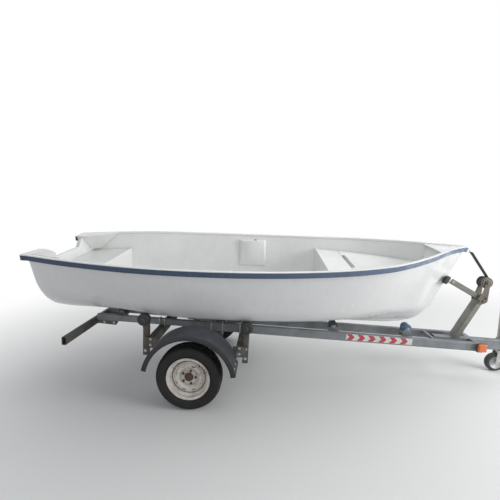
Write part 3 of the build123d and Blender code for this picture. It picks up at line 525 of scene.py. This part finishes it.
def softened(name, radius, material, body="outfit", crease=35):
    """A copy of a solid with its flat faces merged and its sharp edges rounded."""
    rounded = bmesh.new()
    rounded.from_mesh(nodes[name].data)
    bmesh.ops.remove_doubles(rounded, verts=rounded.verts, dist=1e-5)
    bmesh.ops.dissolve_limit(
        rounded, angle_limit=math.radians(1.5), verts=rounded.verts, edges=rounded.edges
    )
    sharp = [edge for edge in rounded.edges if edge.calc_face_angle(0) > math.radians(crease)]
    bmesh.ops.bevel(
        rounded, geom=sharp, offset=radius, segments=3, profile=0.5, affect="EDGES", clamp_overlap=True
    )
    mesh = bpy.data.meshes.new(f"{name}_finished")
    rounded.to_mesh(mesh)
    rounded.free()
    made = placed(f"{name}_finished", mesh, material, body, crease)
    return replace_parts(made, name)


softened("transom", 0.006, gelcoat_inside)
knee_top, knee_low, knee_back = 714, 532, 41.5
knee_top_plan = [(8, 268), (104, 328), (203, 401), (305, None)]
knee_low_plan = [(2, 400), (12, 412), (38, 436), (68, None)]
knee_steps, knee_edge = 12, 708
knee_levels = [(7, knee_top), (3.4, 713.4), (1, 711.4)] + [(0, knee_edge - 16 * k) for k in range(12)]
stern_bay = 300


def side_reach(x, height, inset):
    """Half the boat's breadth inside a skin, near the stern, at a height."""
    row = station_at(max(x, 0) / stern_bay)
    up = (height - row[1]) * math.hypot(row[2], row[3]) / row[3]
    points = half_section(row, inset)
    for low, high in zip(points, points[1:]):
        if high.y >= up:
            return low.lerp(high, (up - low.y) / (high.y - low.y)).x
    return points[-1].x


def along_plan(plan, share, height, back):
    """A point a share of the way along a knee's edge, which ends on the hull's side."""
    ends = [(x, side_reach(back + x, height, skin + 1) if y is None else y) for x, y in plan]
    return smoothly(ends, share * (len(ends) - 1))


def knee(side):
    """A knee's outlines from its rounded top edge down to the bench."""
    loops = []
    for inset, height in knee_levels:
        back = stations[0][2] * (height - stations[0][1]) / stations[0][3] + knee_back
        t = min((knee_top - height) / (knee_top - knee_low), 1)
        face = []
        for k in range(knee_steps + 1):
            top_x, top_y = along_plan(knee_top_plan, k / knee_steps, knee_top, back)
            low_x, low_y = along_plan(knee_low_plan, k / knee_steps, knee_low, back)
            x, y = top_x + (low_x - top_x) * t, top_y + (low_y - top_y) * t
            wall = side_reach(back + x, height, skin + 1)
            cove = min((knee_steps - k) / 7, 1)
            y = wall - (wall - y) * cove * (2 - cove)
            face.append((back + max(x - inset * 0.6, 1), min(y + inset * 0.8, wall)))
        outline = [(back, face[0][1])] + face + [(back, side_reach(0, height, skin + 1))]
        loops.append([boat @ Vector((x, side * y, height)) for x, y in outline])
    return solid(loops)


knees = add_piece("stern_knees", *joined([knee(-1), knee(1)]), gelcoat_inside, "gelcoat_inside", crease=50)
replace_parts(knees, "quarter_knees")
for name, radius in (
    ("stern_bench", 0.0025), ("forward_thwart", 0.0025), ("bow_seat", 0.0025), ("rowlock_pads", 0.011)
):
    softened(name, radius, gelcoat_inside)
softened("foredeck", 0.003, gelcoat_outside)
softened("motor_pad", 0.0015, gelcoat_inside)
rings = []
for k in range(5):
    row = station_at(bays - 1 + k / 4)
    top, half = math.hypot(row[2], row[3]), row[4] - 8
    rings.append([on_hull(row, y, top + up) for y, up in ((-half, 9), (-half, 20), (half, 20), (half, 9))])
add_piece("foredeck_point", *solid(rings), gelcoat_outside, "gelcoat_white", crease=30)


def paint(material, *names):
    """Gives solids that stay as they are a material."""
    for name in names:
        nodes[name].data.materials.clear()
        nodes[name].data.materials.append(material)


paint(gelcoat_inside, "cockpit_sole", "bow_bulkhead")

# Keel band: a strip of white gelcoat moulded under the middle of the hull, which takes the
# rollers. It fades into the hull under the forefoot.
band_half, band_depth, band_corner = 16, 16, 4
band_last = 4 * (bays - 3)
rings = []
for k in range(band_last + 1):
    row = station_at(k / 4)
    sole = -band_depth * min(1, (band_last - k) / 6)
    half = [
        (band_half, band_half * row[6] / row[5] + 1), (band_half, sole + band_corner),
        (band_half - band_corner, sole),
    ]
    rings.append([on_hull(row, -y, up) for y, up in half] + [on_hull(row, y, up) for y, up in half[::-1]])
keel_strip = add_piece("keel_strip", *solid(rings), gelcoat_outside, "gelcoat_white", crease=30)
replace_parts(keel_strip, "keel_band")

# Deck fittings: nylon bushes pressed into the rowlock pads, coloured black as painted shade for
# their socket holes, and two of plated steel, the drain's bung in the transom and the eye on the stem head.


def frame_of(at, way, across_way=(0, 0, 1)):
    """A frame in millimetres at a point, its Z along a direction."""
    z = Vector(way).normalized()
    x = Vector(across_way).cross(z)
    x = x.normalized() if x.length > 0.01 else Vector((1, 0, 0)).cross(z).normalized()
    turned_frame = Matrix((x, z.cross(x), z)).transposed().to_4x4()
    return Matrix.Translation(at) @ turned_frame @ Matrix.Scale(0.001, 4)


def lathe(profile, place, steps=48):
    """Points and faces of a profile of (radius, height) turned about a frame's Z."""
    rings = []
    for k in range(steps):
        turn = 2 * math.pi * k / steps
        rings.append([place @ Vector((r * math.cos(turn), r * math.sin(turn), z)) for r, z in profile])
    return skinned(rings + [rings[0]])


# Painted shade: the bushes are black so that they stand for the dark holes of the rowlock sockets.
nylon_painted_socket_shade = weathered("nylon_painted_socket_shade", (0.045, 0.045, 0.045), (0.11, 0.105, 0.10), 0.5, patch=60, patches=0.5)
bright_steel = weathered(
    "bright_steel", (0.50, 0.50, 0.49), (0.22, 0.16, 0.11), 0.34, metal=0.9, patch=22, patches=0.45,
    chip=((0.20, 0.09, 0.045), 160, 0.22, 0.85),
)
bush_profile = [(8, -20), (8, 1), (9, 2.5), (16, 2.5), (18, 1), (18, 0), (8, -20)]
bushes = []
for side in (-1, 1):
    at = boat @ Vector((1855, side * 638, 641))
    bushes.append(lathe(bush_profile, frame_of(at, boat.to_3x3() @ Vector((0, 0, 1))), 32))
add_piece("rowlock_bushes", *joined(bushes), nylon_painted_socket_shade, "pad_grey")
drain_y, drain_up = 60, 62
drain_at = on_hull(station_at(0), drain_y, drain_up, -1)
drain_way = drain_at - on_hull(station_at(0), drain_y, drain_up, 100)
bung_profile = [(0.1, 9), (8, 9), (9.5, 7.5), (10, 3), (16, 3), (18, 1.5), (18, -4), (0.1, -4)]
add_piece(
    "drain_bung", *lathe(bung_profile, frame_of(drain_at, drain_way), 32), bright_steel, "bright_steel"
)
softened("bow_eye", 0.0004, bright_steel, crease=50)

# Trailer frame: rolled steel tube, welded and dip galvanised, dulled blue-grey outdoors, with
# rust where the zinc has worn through at welds and edges.
axle_x = -0.96
frame_slope = math.radians(3.32)
chassis = (
    Matrix.Translation((axle_x, 0, 0.54)) @ Matrix.Rotation(frame_slope, 4, "Y") @ Matrix.Scale(0.001, 4)
)
side_way = chassis.to_3x3() @ Vector((0, 1, 0))
galvanised = weathered(
    "galvanised", (0.215, 0.235, 0.25), (0.12, 0.105, 0.09), 0.48, metal=0.35, patch=7, patches=0.6,
    runs=0.2, bump=0.12, chip=((0.13, 0.06, 0.03), 70, 0.24, 0.9),
)
# Worn steel for the parts under the boat: rust chips of its own, and a base much darker than the galvanised
# rails, which is painted shade for the shadow under the hull.
worn_steel_and_shade = weathered(
    "worn_steel_and_shade", (0.105, 0.105, 0.10), (0.085, 0.058, 0.040), 0.55, metal=0.3, patch=11, patches=0.8,
    runs=0.3, bump=0.2, chip=((0.12, 0.05, 0.025), 55, 0.36, 0.9),
)
paint(galvanised, "rail_port", "rail_starboard", "front_crossbar", "drawbar", "axle_beam", "cross_ties")
for name, radius in (
    ("rear_crossbar", 0.001), ("side_beams", 0.001), ("axle_brackets", 0.002),
    ("trailing_arm_port", 0.003), ("trailing_arm_starboard", 0.003),
    ("roller_posts_port", 0.0012), ("roller_posts_starboard", 0.0012),
):
    softened(name, radius, worn_steel_and_shade)


def hexagon(place, size, low, high):
    """A bolt head or nut with its corners chamfered, on a frame's Z."""
    corners = [math.radians(60 * k) for k in range(6)]
    levels = ((0.5, low), (0.577, low + 0.6), (0.577, high - 1.2), (0.48, high))
    return solid([
        [place @ Vector((size * r * math.cos(turn), size * r * math.sin(turn), z)) for turn in corners]
        for r, z in levels
    ])


def bolt(at, way, size=17):
    """A hexagon head on its washer, with the frame's Z out of the plate."""
    place = frame_of(at, way)
    washer = lathe([(0.1, 0), (size * 0.85, 0), (size * 0.85, 2), (0.1, 2)], place, 24)
    return joined([washer, hexagon(place, size, 2, 2 + size * 0.55)])


def bent_rod(name, runs, radius, material, body="outfit"):
    """Round rods along smooth lines, as one piece."""
    curve = bpy.data.curves.new(name, "CURVE")
    curve.dimensions = "3D"
    curve.bevel_depth = radius
    curve.bevel_resolution = 3
    curve.use_fill_caps = True
    for run in runs:
        spline = curve.splines.new("BEZIER")
        spline.bezier_points.add(len(run) - 1)
        for point, place in zip(spline.bezier_points, run):
            point.co = place
            point.handle_left_type = point.handle_right_type = "AUTO"
    line = bpy.data.objects.new(name, curve)
    collection.objects.link(line)
    mesh = bpy.data.meshes.new_from_object(line.evaluated_get(bpy.context.evaluated_depsgraph_get()))
    bpy.data.objects.remove(line)
    return placed(name, mesh, material, body, crease=50)


def u_bolt(x, y, width, top, bottom, radius=5):
    """The line of a U-bolt hung over a rail, in the chassis frame."""
    half, bend = width / 2 + radius, 6
    leg = [(half, bottom), (half, (top + bottom) / 2), (half, top - bend), (half - bend, top + radius)]
    corners = [(-across_y, z) for across_y, z in leg] + [(0, top + radius)] + leg[::-1]
    return [chassis @ Vector((x, y + across_y, z)) for across_y, z in corners]


rail_y, rail_width = 120, 45
clamps, nuts = [], []
down = chassis.to_3x3() @ Vector((0, 0, -1))
for side in (-1, 1):
    for x, bottom in ((-425, -78), (-375, -78), (380, -96), (430, -96), (95, -98), (205, -98)):
        clamps.append(u_bolt(x, side * rail_y, rail_width, 0, bottom))
        for edge in (-1, 1):
            foot = chassis @ Vector((x, side * rail_y + edge * 27.5, bottom + 12))
            nuts.append(hexagon(frame_of(foot, down), 15, 0, 8))
    for y, size, places in (
        (124.3, 15, ((-1000, -84), (-900, -84))),
        (440.2, 15, ((-400, -75), (-400, -130), (405, -95), (405, -150))),
        (418.2, 17, ((-455, -200), (-455, -80), (460, -200), (460, -110))),
    ):
        for x, z in places:
            nuts.append(bolt(chassis @ Vector((x, side * y, z)), side * side_way, size))
bent_rod("frame_clamps", clamps, 0.005, bright_steel)
add_piece("frame_nuts", *joined(nuts), bright_steel, "bright_steel", crease=25)

# Warning tape: a white reflective band with red chevrons that point ahead, both of thin
# plastic film, stuck on the outer face of each rail and dulled by dirt.


def stuck_on(name, shapes, side, lift, material, slot):
    """Flat shapes of tape on a rail's outer face, each a loop of (x, z) points."""
    parts = []
    for outline in shapes:
        parts.append(solid([
            [chassis @ Vector((x, side * (rail_y + rail_width / 2 + out), z)) for x, z in outline]
            for out in (0.05, lift)
        ]))
    return add_piece(name, *joined(parts), material, slot, crease=20)


tape_wear = {"patch": 40, "patches": 0.5, "runs": 0.4, "coat": 0.2}
tape_white = weathered("tape_white", (0.66, 0.66, 0.64), (0.34, 0.33, 0.31), 0.35, **tape_wear)
tape_red = weathered("tape_red", (0.46, 0.035, 0.055), (0.30, 0.12, 0.12), 0.35, **tape_wear)
tape_top, tape_low, tape_back, tape_front = -5, -67, 1412, 2040
chevron, chevron_arm, chevron_point = 101, 50, 28
middle = (tape_top + tape_low) / 2
for side, side_name in ((-1, "starboard"), (1, "port")):
    band = [(tape_back, tape_top), (tape_back, tape_low), (tape_front, tape_low), (tape_front, tape_top)]
    stuck_on(f"tape_band_{side_name}", [band], side, 0.5, tape_white, "wheel_white")
    marks = []
    for k in range(6):
        x = tape_back + 4 + k * chevron
        marks.append([
            (x, tape_top - 1), (x + chevron_arm, tape_top - 1),
            (x + chevron_arm + chevron_point, middle), (x + chevron_arm, tape_low + 1),
            (x, tape_low + 1), (x + chevron_point, middle),
        ])
    stuck_on(f"tape_chevrons_{side_name}", marks, side, 0.9, tape_red, "lamp_amber")

# Wheels: 13 inch tyres with worn road tread, on pressed steel rims painted white, rusting in
# the groove round the disc, below the vents and at the bolts, with a dark cap on each hub.
tyre_rubber = weathered(
    "tyre_rubber", (0.011, 0.011, 0.012), (0.036, 0.033, 0.029), 0.7, patch=14, patches=0.45, runs=0.2,
    bump=0.15,
)
tyre_rubber.node_tree.nodes["Principled BSDF"].inputs["Specular IOR Level"].default_value = 0.3
half_tyre = [
    # radius, out from the middle
    (167, 55), (183, 58), (196, 66), (206, 72), (209, 74.4), (213, 74.6), (220, 76.2), (232, 77.5),
    (243, 76.8), (245, 77.3), (249, 76.8), (251, 75), (257, 72.4), (264, 65), (269, 57), (272, 47),
    (273.2, 38), (273.4, 31.5), (266, 30.5), (266, 24.5), (273.5, 23.5), (273.5, 13), (266, 12),
    (266, 6), (273.5, 5),
]
tyre_profile = [(r, -z) for r, z in half_tyre] + half_tyre[::-1]
pitches, sipe_depth = 64, 6.5


def tyre_mesh(place):
    """A tyre with a sipe cut across its tread at each pitch."""
    rings = []
    for k in range(4 * pitches):
        turn = 2 * math.pi * k / (4 * pitches)
        ring = []
        for r, z in tyre_profile:
            cut = sipe_depth if k % 4 == 0 and 12.5 < abs(z) < 58 and r > 268 else 0
            skew = turn + (0.012 if r > 262 else 0) * (z / 40)
            ring.append(place @ Vector(((r - cut) * math.cos(skew), (r - cut) * math.sin(skew), z)))
        rings.append(ring)
    return skinned(rings + [rings[0]])


def rim_paint(name, middle):
    """White wheel paint, rusting in a ring where the disc is pressed into the rim and at the hub."""
    material = weathered(
        name, (0.63, 0.595, 0.55), (0.24, 0.15, 0.095), 0.40, patch=16, patches=0.5, runs=0.35,
        chip=((0.15, 0.06, 0.03), 95, 0.36, 0.85),
    )
    tree = material.node_tree
    shader = tree.nodes["Principled BSDF"]
    paint_colour = shader.inputs["Base Color"].links[0].from_socket
    spot = object_point(tree)
    off = put(tree, "ShaderNodeVectorMath", {0: spot, 1: middle}, operation="SUBTRACT").outputs[0]
    flat = put(tree, "ShaderNodeVectorMath", {0: off, 1: (1, 0, 1)}, operation="MULTIPLY").outputs[0]
    reach = put(tree, "ShaderNodeVectorMath", {0: flat}, operation="LENGTH").outputs["Value"]
    wobble = put(tree, "ShaderNodeTexNoise", {"Vector": spot, "Scale": 34, "Detail": 5}).outputs["Fac"]
    masks = []
    for radius, width, strength in ((0.1375, 0.0045, 1.5), (0.070, 0.012, 0.8), (0.112, 0.012, 0.45)):
        near = calculated(tree, "ABSOLUTE", calculated(tree, "SUBTRACT", reach, radius))
        band = put(
            tree, "ShaderNodeMapRange",
            {"Value": near, "From Max": width, "To Min": strength, "To Max": 0.0},
            interpolation_type="SMOOTHSTEP",
        ).outputs[0]
        masks.append(calculated(tree, "MULTIPLY", band, wobble))
    most = calculated(tree, "ADD", masks[0], masks[1])
    most = calculated(tree, "ADD", most, masks[2], clamp=True)
    rusted = tinted(tree, most, paint_colour, (0.15, 0.075, 0.04, 1))
    tree.links.new(rusted, shader.inputs["Base Color"])
    return material


wheel_y, wheel_z = 0.6425, 0.2735


hub_rust = weathered(
    "hub_rust", (0.060, 0.040, 0.030), (0.14, 0.065, 0.035), 0.7, metal=0.2, patch=40, patches=0.8, bump=0.4,
)
for side, side_name in ((-1, "starboard"), (1, "port")):
    body = f"wheel_{side_name}"
    hub_centre = (axle_x, side * wheel_y, wheel_z)
    wheel = (
        Matrix.Translation(hub_centre) @ Matrix.Rotation(math.radians(-side * 90), 4, "X")
        @ Matrix.Scale(0.001, 4)
    )
    tread = add_piece(
        f"road_tyre_{side_name}", *tyre_mesh(wheel), tyre_rubber, "tyre_rubber", body, crease=35
    )
    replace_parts(tread, f"tyre_{side_name}")
    paint(rim_paint(f"rim_white_{side_name}", hub_centre), f"rim_{side_name}")
    paint(hub_rust, f"hub_{side_name}")
    cap = [(36, 20.5), (37.5, 22), (37.5, 26), (35, 28), (31, 29), (30, 40), (27, 44), (20, 46), (0.1, 46.5)]
    add_piece(f"hub_cap_{side_name}", *lathe(cap, wheel), hub_rust, "bright_steel", body)
    stem = frame_of(wheel @ Vector((100, 112, 18)), wheel.to_3x3() @ Vector((-0.35, -0.35, 1)))
    valve = [(5.5, -8), (5.5, 4), (4, 8), (4, 22), (5, 23), (5, 32), (4, 34), (0.1, 34)]
    add_piece(f"valve_{side_name}", *lathe(valve, stem, 20), tyre_rubber, "tyre_rubber", body)

# Mudguards: black plastic sheet over each wheel with a deep valance, dusty on top and with a painted
# bluish sheen on its upward faces, riveted to flat bars at both ends.
# Dust and painted sheen: faces that look up are tinted lighter, for dust and for the sheen of light on top
# faces.
dust_and_sheen, given, result = new_group(
    "dust_and_sheen",
    [
        ("Color", "Color", (0.1, 0.1, 0.1, 1)), ("Dust And Sheen", "Color", (0.3, 0.3, 0.3, 1)),
        ("Amount", "Float", 0.5),
    ],
    [("Color", "Color"), ("Mask", "Float")],
)
normal = put(dust_and_sheen, "ShaderNodeNewGeometry").outputs["Normal"]
upward = put(dust_and_sheen, "ShaderNodeSeparateXYZ", {0: normal}).outputs["Z"]
upward_share = put(dust_and_sheen, "ShaderNodeMapRange", {"Value": upward, "From Min": 0.35, "From Max": 1.0})
cloud = put(
    dust_and_sheen, "ShaderNodeTexNoise",
    {"Vector": object_point(dust_and_sheen), "Scale": 16, "Detail": 7, "Roughness": 0.65},
)
upward_patches = calculated(dust_and_sheen, "MULTIPLY", upward_share.outputs[0], cloud.outputs["Fac"])
dust_and_sheen_mask = calculated(dust_and_sheen, "MULTIPLY", upward_patches, given["Amount"], clamp=True)
dust_and_sheen.links.new(tinted(dust_and_sheen, dust_and_sheen_mask, given["Color"], given["Dust And Sheen"]), result["Color"])
dust_and_sheen.links.new(dust_and_sheen_mask, result["Mask"])


def with_dust_and_sheen(material, colour, amount):
    """Lays dust and a painted sheen on a material's upward faces."""
    tree = material.node_tree
    shader = tree.nodes["Principled BSDF"]
    before = shader.inputs["Base Color"].links[0].from_socket
    layer = use_group(tree, dust_and_sheen, {"Color": before, "Dust And Sheen": (*colour, 1), "Amount": amount})
    tree.links.new(layer["Color"], shader.inputs["Base Color"])
    return material


# The bluish tint on the guard's upward faces is dust together with a painted sheen.
guard_black = with_dust_and_sheen(
    weathered(
        "guard_black", (0.010, 0.0105, 0.013), (0.024, 0.024, 0.026), 0.48, patch=9, patches=0.5,
        bump=0.08,
    ),
    (0.085, 0.096, 0.115), 1.0,
)
guard_x, guard_radius = -0.95, 0.3898
for side, side_name in ((-1, "starboard"), (1, "port")):
    softened(f"mudguard_{side_name}", 0.0009, guard_black)
    rivets = []
    for degrees in (16.5, 160.5):
        turn = math.radians(degrees)
        out = Vector((math.cos(turn), 0, math.sin(turn)))
        for y in (560, 640, 720):
            at = Vector((guard_x, side * y / 1000, wheel_z)) + out * guard_radius
            rivets.append(lathe([(7, 0), (7, 1.5), (5, 3.5), (0.1, 4)], frame_of(at, out), 16))
    add_piece(f"guard_rivets_{side_name}", *joined(rivets), bright_steel, "bright_steel")

# Side rollers: thick black rubber rollers with rounded shoulders on steel spindles, held by a
# washer and a nut, two on each side under the turn of the bilge.
roller_rubber = weathered(
    "roller_rubber", (0.016, 0.017, 0.018), (0.06, 0.055, 0.05), 0.6, patch=24, patches=0.5, bump=0.2,
)
bilge_roller = [
    # radius, outboard
    (10.2, 0), (44, 0), (50, 2), (54, 7), (55, 12), (55, 27), (53.5, 28.5), (53.5, 31.5), (55, 33),
    (55, 48), (54, 53), (50, 58), (44, 60), (28, 60), (26, 57), (14, 57), (12, 59), (10.2, 59),
]
for side, side_name in ((-1, "starboard"), (1, "port")):
    rollers, caps = [], []
    for x, spindle in ((-455, 115), (460, 108)):
        start = frame_of(chassis @ Vector((x, side * 425, spindle)), side * side_way)
        rollers.append(lathe(bilge_roller, start, 56))
        caps.append(lathe([(0.1, 57.4), (19, 57.4), (19, 60), (0.1, 60)], start, 28))
        caps.append(hexagon(start, 19, 60, 69))
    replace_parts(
        add_piece(f"bilge_rollers_{side_name}", *joined(rollers), roller_rubber, "roller_rubber"),
        f"side_rollers_{side_name}",
    )
    # The bilge roller nuts take the dark worn steel: painted shade under the hull.
    add_piece(f"bilge_roller_nuts_{side_name}", *joined(caps), worn_steel_and_shade, "bright_steel", crease=25)

# Keel rollers: waisted rubber rollers between plate brackets on the cross ties. The foremost
# one is a newer blue one.
roller_blue = weathered(
    "roller_blue", (0.045, 0.13, 0.22), (0.10, 0.13, 0.15), 0.5, patch=30, patches=0.5, bump=0.15
)
softened("keel_roller_brackets", 0.0012, galvanised)
keel_roller_length, waist, bore = 76, 5, 8.2
rollers, ends = [], []
for x, top, radius in ((-860, 44.3, 38), (230, 21.3, 32), (1310, 63.3, 42), (2030, 96, 42)):
    start = frame_of(chassis @ Vector((x, -keel_roller_length / 2, top - radius)), side_way)
    profile = [(bore, 0), (radius - 5, 0), (radius - 1, 2), (radius, 6)]
    profile += [(radius - waist * math.sin(math.pi * k / 8) ** 2, 6 + 64 * k / 8) for k in range(1, 8)]
    profile += [(r, keel_roller_length - z) for r, z in profile[3::-1]]
    rollers.append(lathe(profile, start, 44))
    for side in (-1, 1):
        hole = chassis @ Vector((x, side * 47, top - radius))
        ends.append(hexagon(frame_of(hole, side * side_way), 17, 0, 8))
black_rollers = add_piece("keel_rollers_black", *joined(rollers[:3]), roller_rubber, "roller_rubber")
add_piece("keel_roller_bow", *rollers[3], roller_blue, "strake_blue")
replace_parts(black_rollers, "keel_rollers")
add_piece("keel_roller_nuts", *joined(ends), bright_steel, "bright_steel", crease=25)

# Marker lamps: an amber plastic lens, moulded with level ribs, on a black rubber base fixed
# to each end of the front crossbar.
amber_lens = weathered(
    "amber_lens", (0.66, 0.155, 0.025), (0.36, 0.11, 0.04), 0.18, patch=30, patches=0.6, coat=0.5
)
black_base = weathered(
    "black_base", (0.02, 0.02, 0.022), (0.07, 0.07, 0.065), 0.6, patch=24, patches=0.4
)
lamp_x, lamp_y, lamp_z, lamp_width, lens_width = 2664, 165.1, -30, 84, 76


def pillow(place, wide, tall, levels):
    """A rounded rectangle's loops, each level (inset, height) over the one before."""
    loops = []
    for inset, z in levels:
        corner = max(min(12, wide / 2 - 0.5, tall / 2 - 0.5) - inset, 0.5)
        loop = []
        for quarter, (sx, sy) in enumerate(((1, 1), (-1, 1), (-1, -1), (1, -1))):
            for step in range(5):
                turn = math.radians(90 * quarter + 22.5 * step)
                loop.append(place @ Vector((
                    sx * (wide / 2 - inset - corner) + corner * math.cos(turn),
                    sy * (tall / 2 - inset - corner) + corner * math.sin(turn), z,
                )))
        loops.append(loop)
    return solid(loops)


lenses, bases = [], []
for side in (-1, 1):
    seat = frame_of(chassis @ Vector((lamp_x, side * lamp_y, lamp_z)), side * side_way, (1, 0, 0))
    bases.append(pillow(seat, lamp_width, lamp_width, [(0, 0), (0, 6), (2, 8)]))
    lens_levels = [(0, 7), (0, 17), (1.5, 21), (5, 24), (14, 25.5)]
    lenses.append(pillow(seat, lens_width, lens_width, lens_levels))
    for rib_z in range(lamp_z - 24, lamp_z + 25, 8):
        foot = chassis @ Vector((lamp_x, side * (lamp_y + 23), rib_z))
        rib = frame_of(foot, side * side_way, (1, 0, 0))
        lenses.append(pillow(rib, 5, 62, [(0, 0), (0.4, 2.5), (1.5, 3)]))
lens = add_piece("lamp_lenses", *joined(lenses), amber_lens, "lamp_amber", crease=30)
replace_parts(lens, "marker_lamps")
add_piece("lamp_bases", *joined(bases), black_base, "guard_black", crease=30)

# Winch: a leaning steel post whose arm holds a rubber snubber to the stem by a capped spigot,
# two pressed cheeks that hold the drum and its ratchet, and a tight webbing strap to the bow.
post_steel = weathered(
    "post_steel", (0.205, 0.205, 0.185), (0.12, 0.105, 0.085), 0.5, metal=0.3, patch=9, patches=0.6,
    runs=0.25, bump=0.12, chip=((0.13, 0.06, 0.03), 70, 0.26, 0.9),
)
softened("winch_post", 0.001, post_steel)
softened("snubber_arm", 0.001, post_steel)
softened("snubber", 0.005, roller_rubber)
arm_end = frame_of((1.436, 0, 0.9717), (-0.867, 0, 0.499), (0, 1, 0))
arm_half = 25
cap_levels = [(0, -14), (0, -0.5), (1, 1.2)]
snubber_mount = [
    pillow(arm_end, 56, 56, cap_levels),
    lathe([(0.1, -4), (13, -4), (13, 26), (0.1, 26)], arm_end, 28),
    lathe([(0.1, 1), (27, 1), (27, 3.2), (25, 4.4), (0.1, 4.4)], arm_end, 32),
]
bolt_middle = arm_end @ Vector((0, 0, -40))
for side in (-1, 1):
    at = bolt_middle + Vector((0, side * arm_half / 1000, 0))
    snubber_mount.append(bolt(at, (0, side, 0), 15))
add_piece("snubber_mount", *joined(snubber_mount), bright_steel, "bright_steel", crease=28)
winch_bronze = weathered(
    "winch_bronze", (0.15, 0.14, 0.12), (0.10, 0.065, 0.04), 0.5, metal=0.5, patch=20, patches=0.7, bump=0.2,
    chip=((0.13, 0.055, 0.03), 90, 0.35, 0.9),
)
drum_x, drum_z, cheek_face = 1.778, 0.948, 0.049
cheek = [
    # x, z
    (1.700, 0.795), (1.708, 0.745), (1.740, 0.738), (1.790, 0.762), (1.796, 0.850), (1.799, 0.925),
    (1.802, 0.950), (1.794, 0.969), (1.778, 0.976), (1.762, 0.969), (1.754, 0.950), (1.752, 0.905),
    (1.736, 0.850),
]
parts = []
for side in (-1, 1):
    parts.append(solid([
        [Vector((x + (inset if x < 1.755 else -inset), side * y, z)) for x, z in cheek]
        for inset, y in ((0, 0.045), (0, 0.048), (0.001, cheek_face))
    ]))
    parts.append(hexagon(frame_of((drum_x, side * cheek_face, drum_z), (0, side, 0)), 24, 0, 9))
    for x, z in ((1.718, 0.775), (1.752, 0.770), (1.775, 0.800)):
        parts.append(bolt((x, side * cheek_face, z), (0, side, 0), 15))
axle_line = frame_of((drum_x, -0.045, drum_z), (0, 1, 0))
parts.append(lathe([(0.1, 0), (9, 0), (9, 90), (0.1, 90)], axle_line, 24))
cheeks = add_piece("winch_cheeks", *joined(parts), winch_bronze, "galvanised", crease=28)
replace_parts(cheeks, "winch_frame")
drum_line = frame_of((drum_x, -0.036, drum_z), (0, 1, 0))
flange_side = [(9.1, 0), (22, 0), (24, 1), (40, 1), (42, 0), (53, 0), (55, 1.3)]
reel = []
for low, high in ((0, 4), (68, 72)):
    flange = [(r, low + z) for r, z in flange_side] + [(r, high - z) for r, z in flange_side[::-1]]
    reel.append(lathe(flange, drum_line, 48))
reel.append(lathe([(9.1, 4), (22, 4), (22, 68), (9.1, 68)], drum_line, 32))
tooth_count = 18
teeth = []
for k in range(tooth_count):
    for r, turn in ((47, 2 * k), (40, 2 * k + 1)):
        turn = math.pi * turn / tooth_count + (0.12 if r == 40 else 0)
        teeth.append((r * math.cos(turn), r * math.sin(turn)))
reel.append(solid([[drum_line @ Vector((x, y, z)) for x, y in teeth] for z in (-5, -0.5)]))
reel_steel = weathered(
    "reel_steel", (0.21, 0.20, 0.18), (0.11, 0.075, 0.05), 0.5, metal=0.4, patch=30, patches=0.6, bump=0.15,
    chip=((0.12, 0.05, 0.025), 140, 0.3, 0.9),
)
drum = add_piece("winch_reel", *joined(reel), reel_steel, "bright_steel", crease=30)
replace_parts(drum, "winch_drum")
webbing = weathered("webbing", (0.060, 0.048, 0.042), (0.13, 0.11, 0.09), 0.85, patch=34, patches=0.6)
weave_tree = webbing.node_tree
weave = put(
    weave_tree, "ShaderNodeTexWave",
    {"Vector": object_point(weave_tree), "Scale": 170, "Distortion": 0.4}, bands_direction="Y",
)
ribbed = put(
    weave_tree, "ShaderNodeBump",
    {"Height": weave.outputs["Fac"], "Strength": 0.5, "Distance": 0.001},
)
weave_tree.links.new(ribbed.outputs[0], weave_tree.nodes["Principled BSDF"].inputs["Normal"])
paint(webbing, "winch_strap")

# Coupling: a cast head, galvanised and bolted through both sides of the drawbar, with the
# zinc-plated lever on top that locks it over the towing ball.
softened("coupling_head", 0.003, galvanised)
softened("coupling_lever", 0.0012, bright_steel)
parts = []
for side in (-1, 1):
    for x in (3235, 3285):
        parts.append(bolt(chassis @ Vector((x, side * 36.2, -34)), side * side_way, 19))
add_piece("coupling_bolts", *joined(parts), bright_steel, "bright_steel", crease=25)

# Jockey wheel: a zinc-plated tube and leg in a clamp on the drawbar, with a fork, a solid
# rubber tyre on a pressed rim, and a crank that winds the leg up and down.
softened("jockey_sleeve", 0.0012, bright_steel)
softened("jockey_clamp", 0.003, galvanised)
softened("jockey_leg", 0.0008, bright_steel, "jockey_leg")
softened("jockey_fork", 0.0012, bright_steel, "jockey_fork")
softened("jockey_crank", 0.0012, bright_steel, "jockey_crank")
caster = frame_of((2.020, 0.080, 0.095), (0, 1, 0))
tyre_side = [(64, -24), (68, -25), (84, -25), (89, -22), (93, -15), (94.6, -8), (95, -3)]
caster_tyre = tyre_side + [(r, -z) for r, z in tyre_side[::-1]] + tyre_side[:1]
rim_side = [
    (6.2, -25), (17, -25), (18, -23), (18, -9), (22, -6), (46, -6), (52, -9), (56, -16), (60, -22),
    (63.5, -25), (64, -23),
]
caster_rim = rim_side + [(r, -z) for r, z in rim_side[::-1]]
caster_rubber = weathered(
    "caster_rubber", (0.038, 0.038, 0.040), (0.085, 0.08, 0.072), 0.65, patch=20, patches=0.6
)
rubber_ring = add_piece(
    "caster_tyre", *lathe(caster_tyre, caster, 64), caster_rubber, "tyre_rubber", "jockey_wheel"
)
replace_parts(rubber_ring, "jockey_tyre")
rim_grey = weathered(
    "rim_grey", (0.55, 0.56, 0.57), (0.25, 0.23, 0.20), 0.4, metal=0.2, patch=30, patches=0.5
)
disc = add_piece("caster_rim", *lathe(caster_rim, caster, 64), rim_grey, "wheel_white", "jockey_wheel")
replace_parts(disc, "jockey_rim")

size = {"cad": [list(corner) for corner in cad_bounds], "visual": [list(corner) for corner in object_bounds()]}
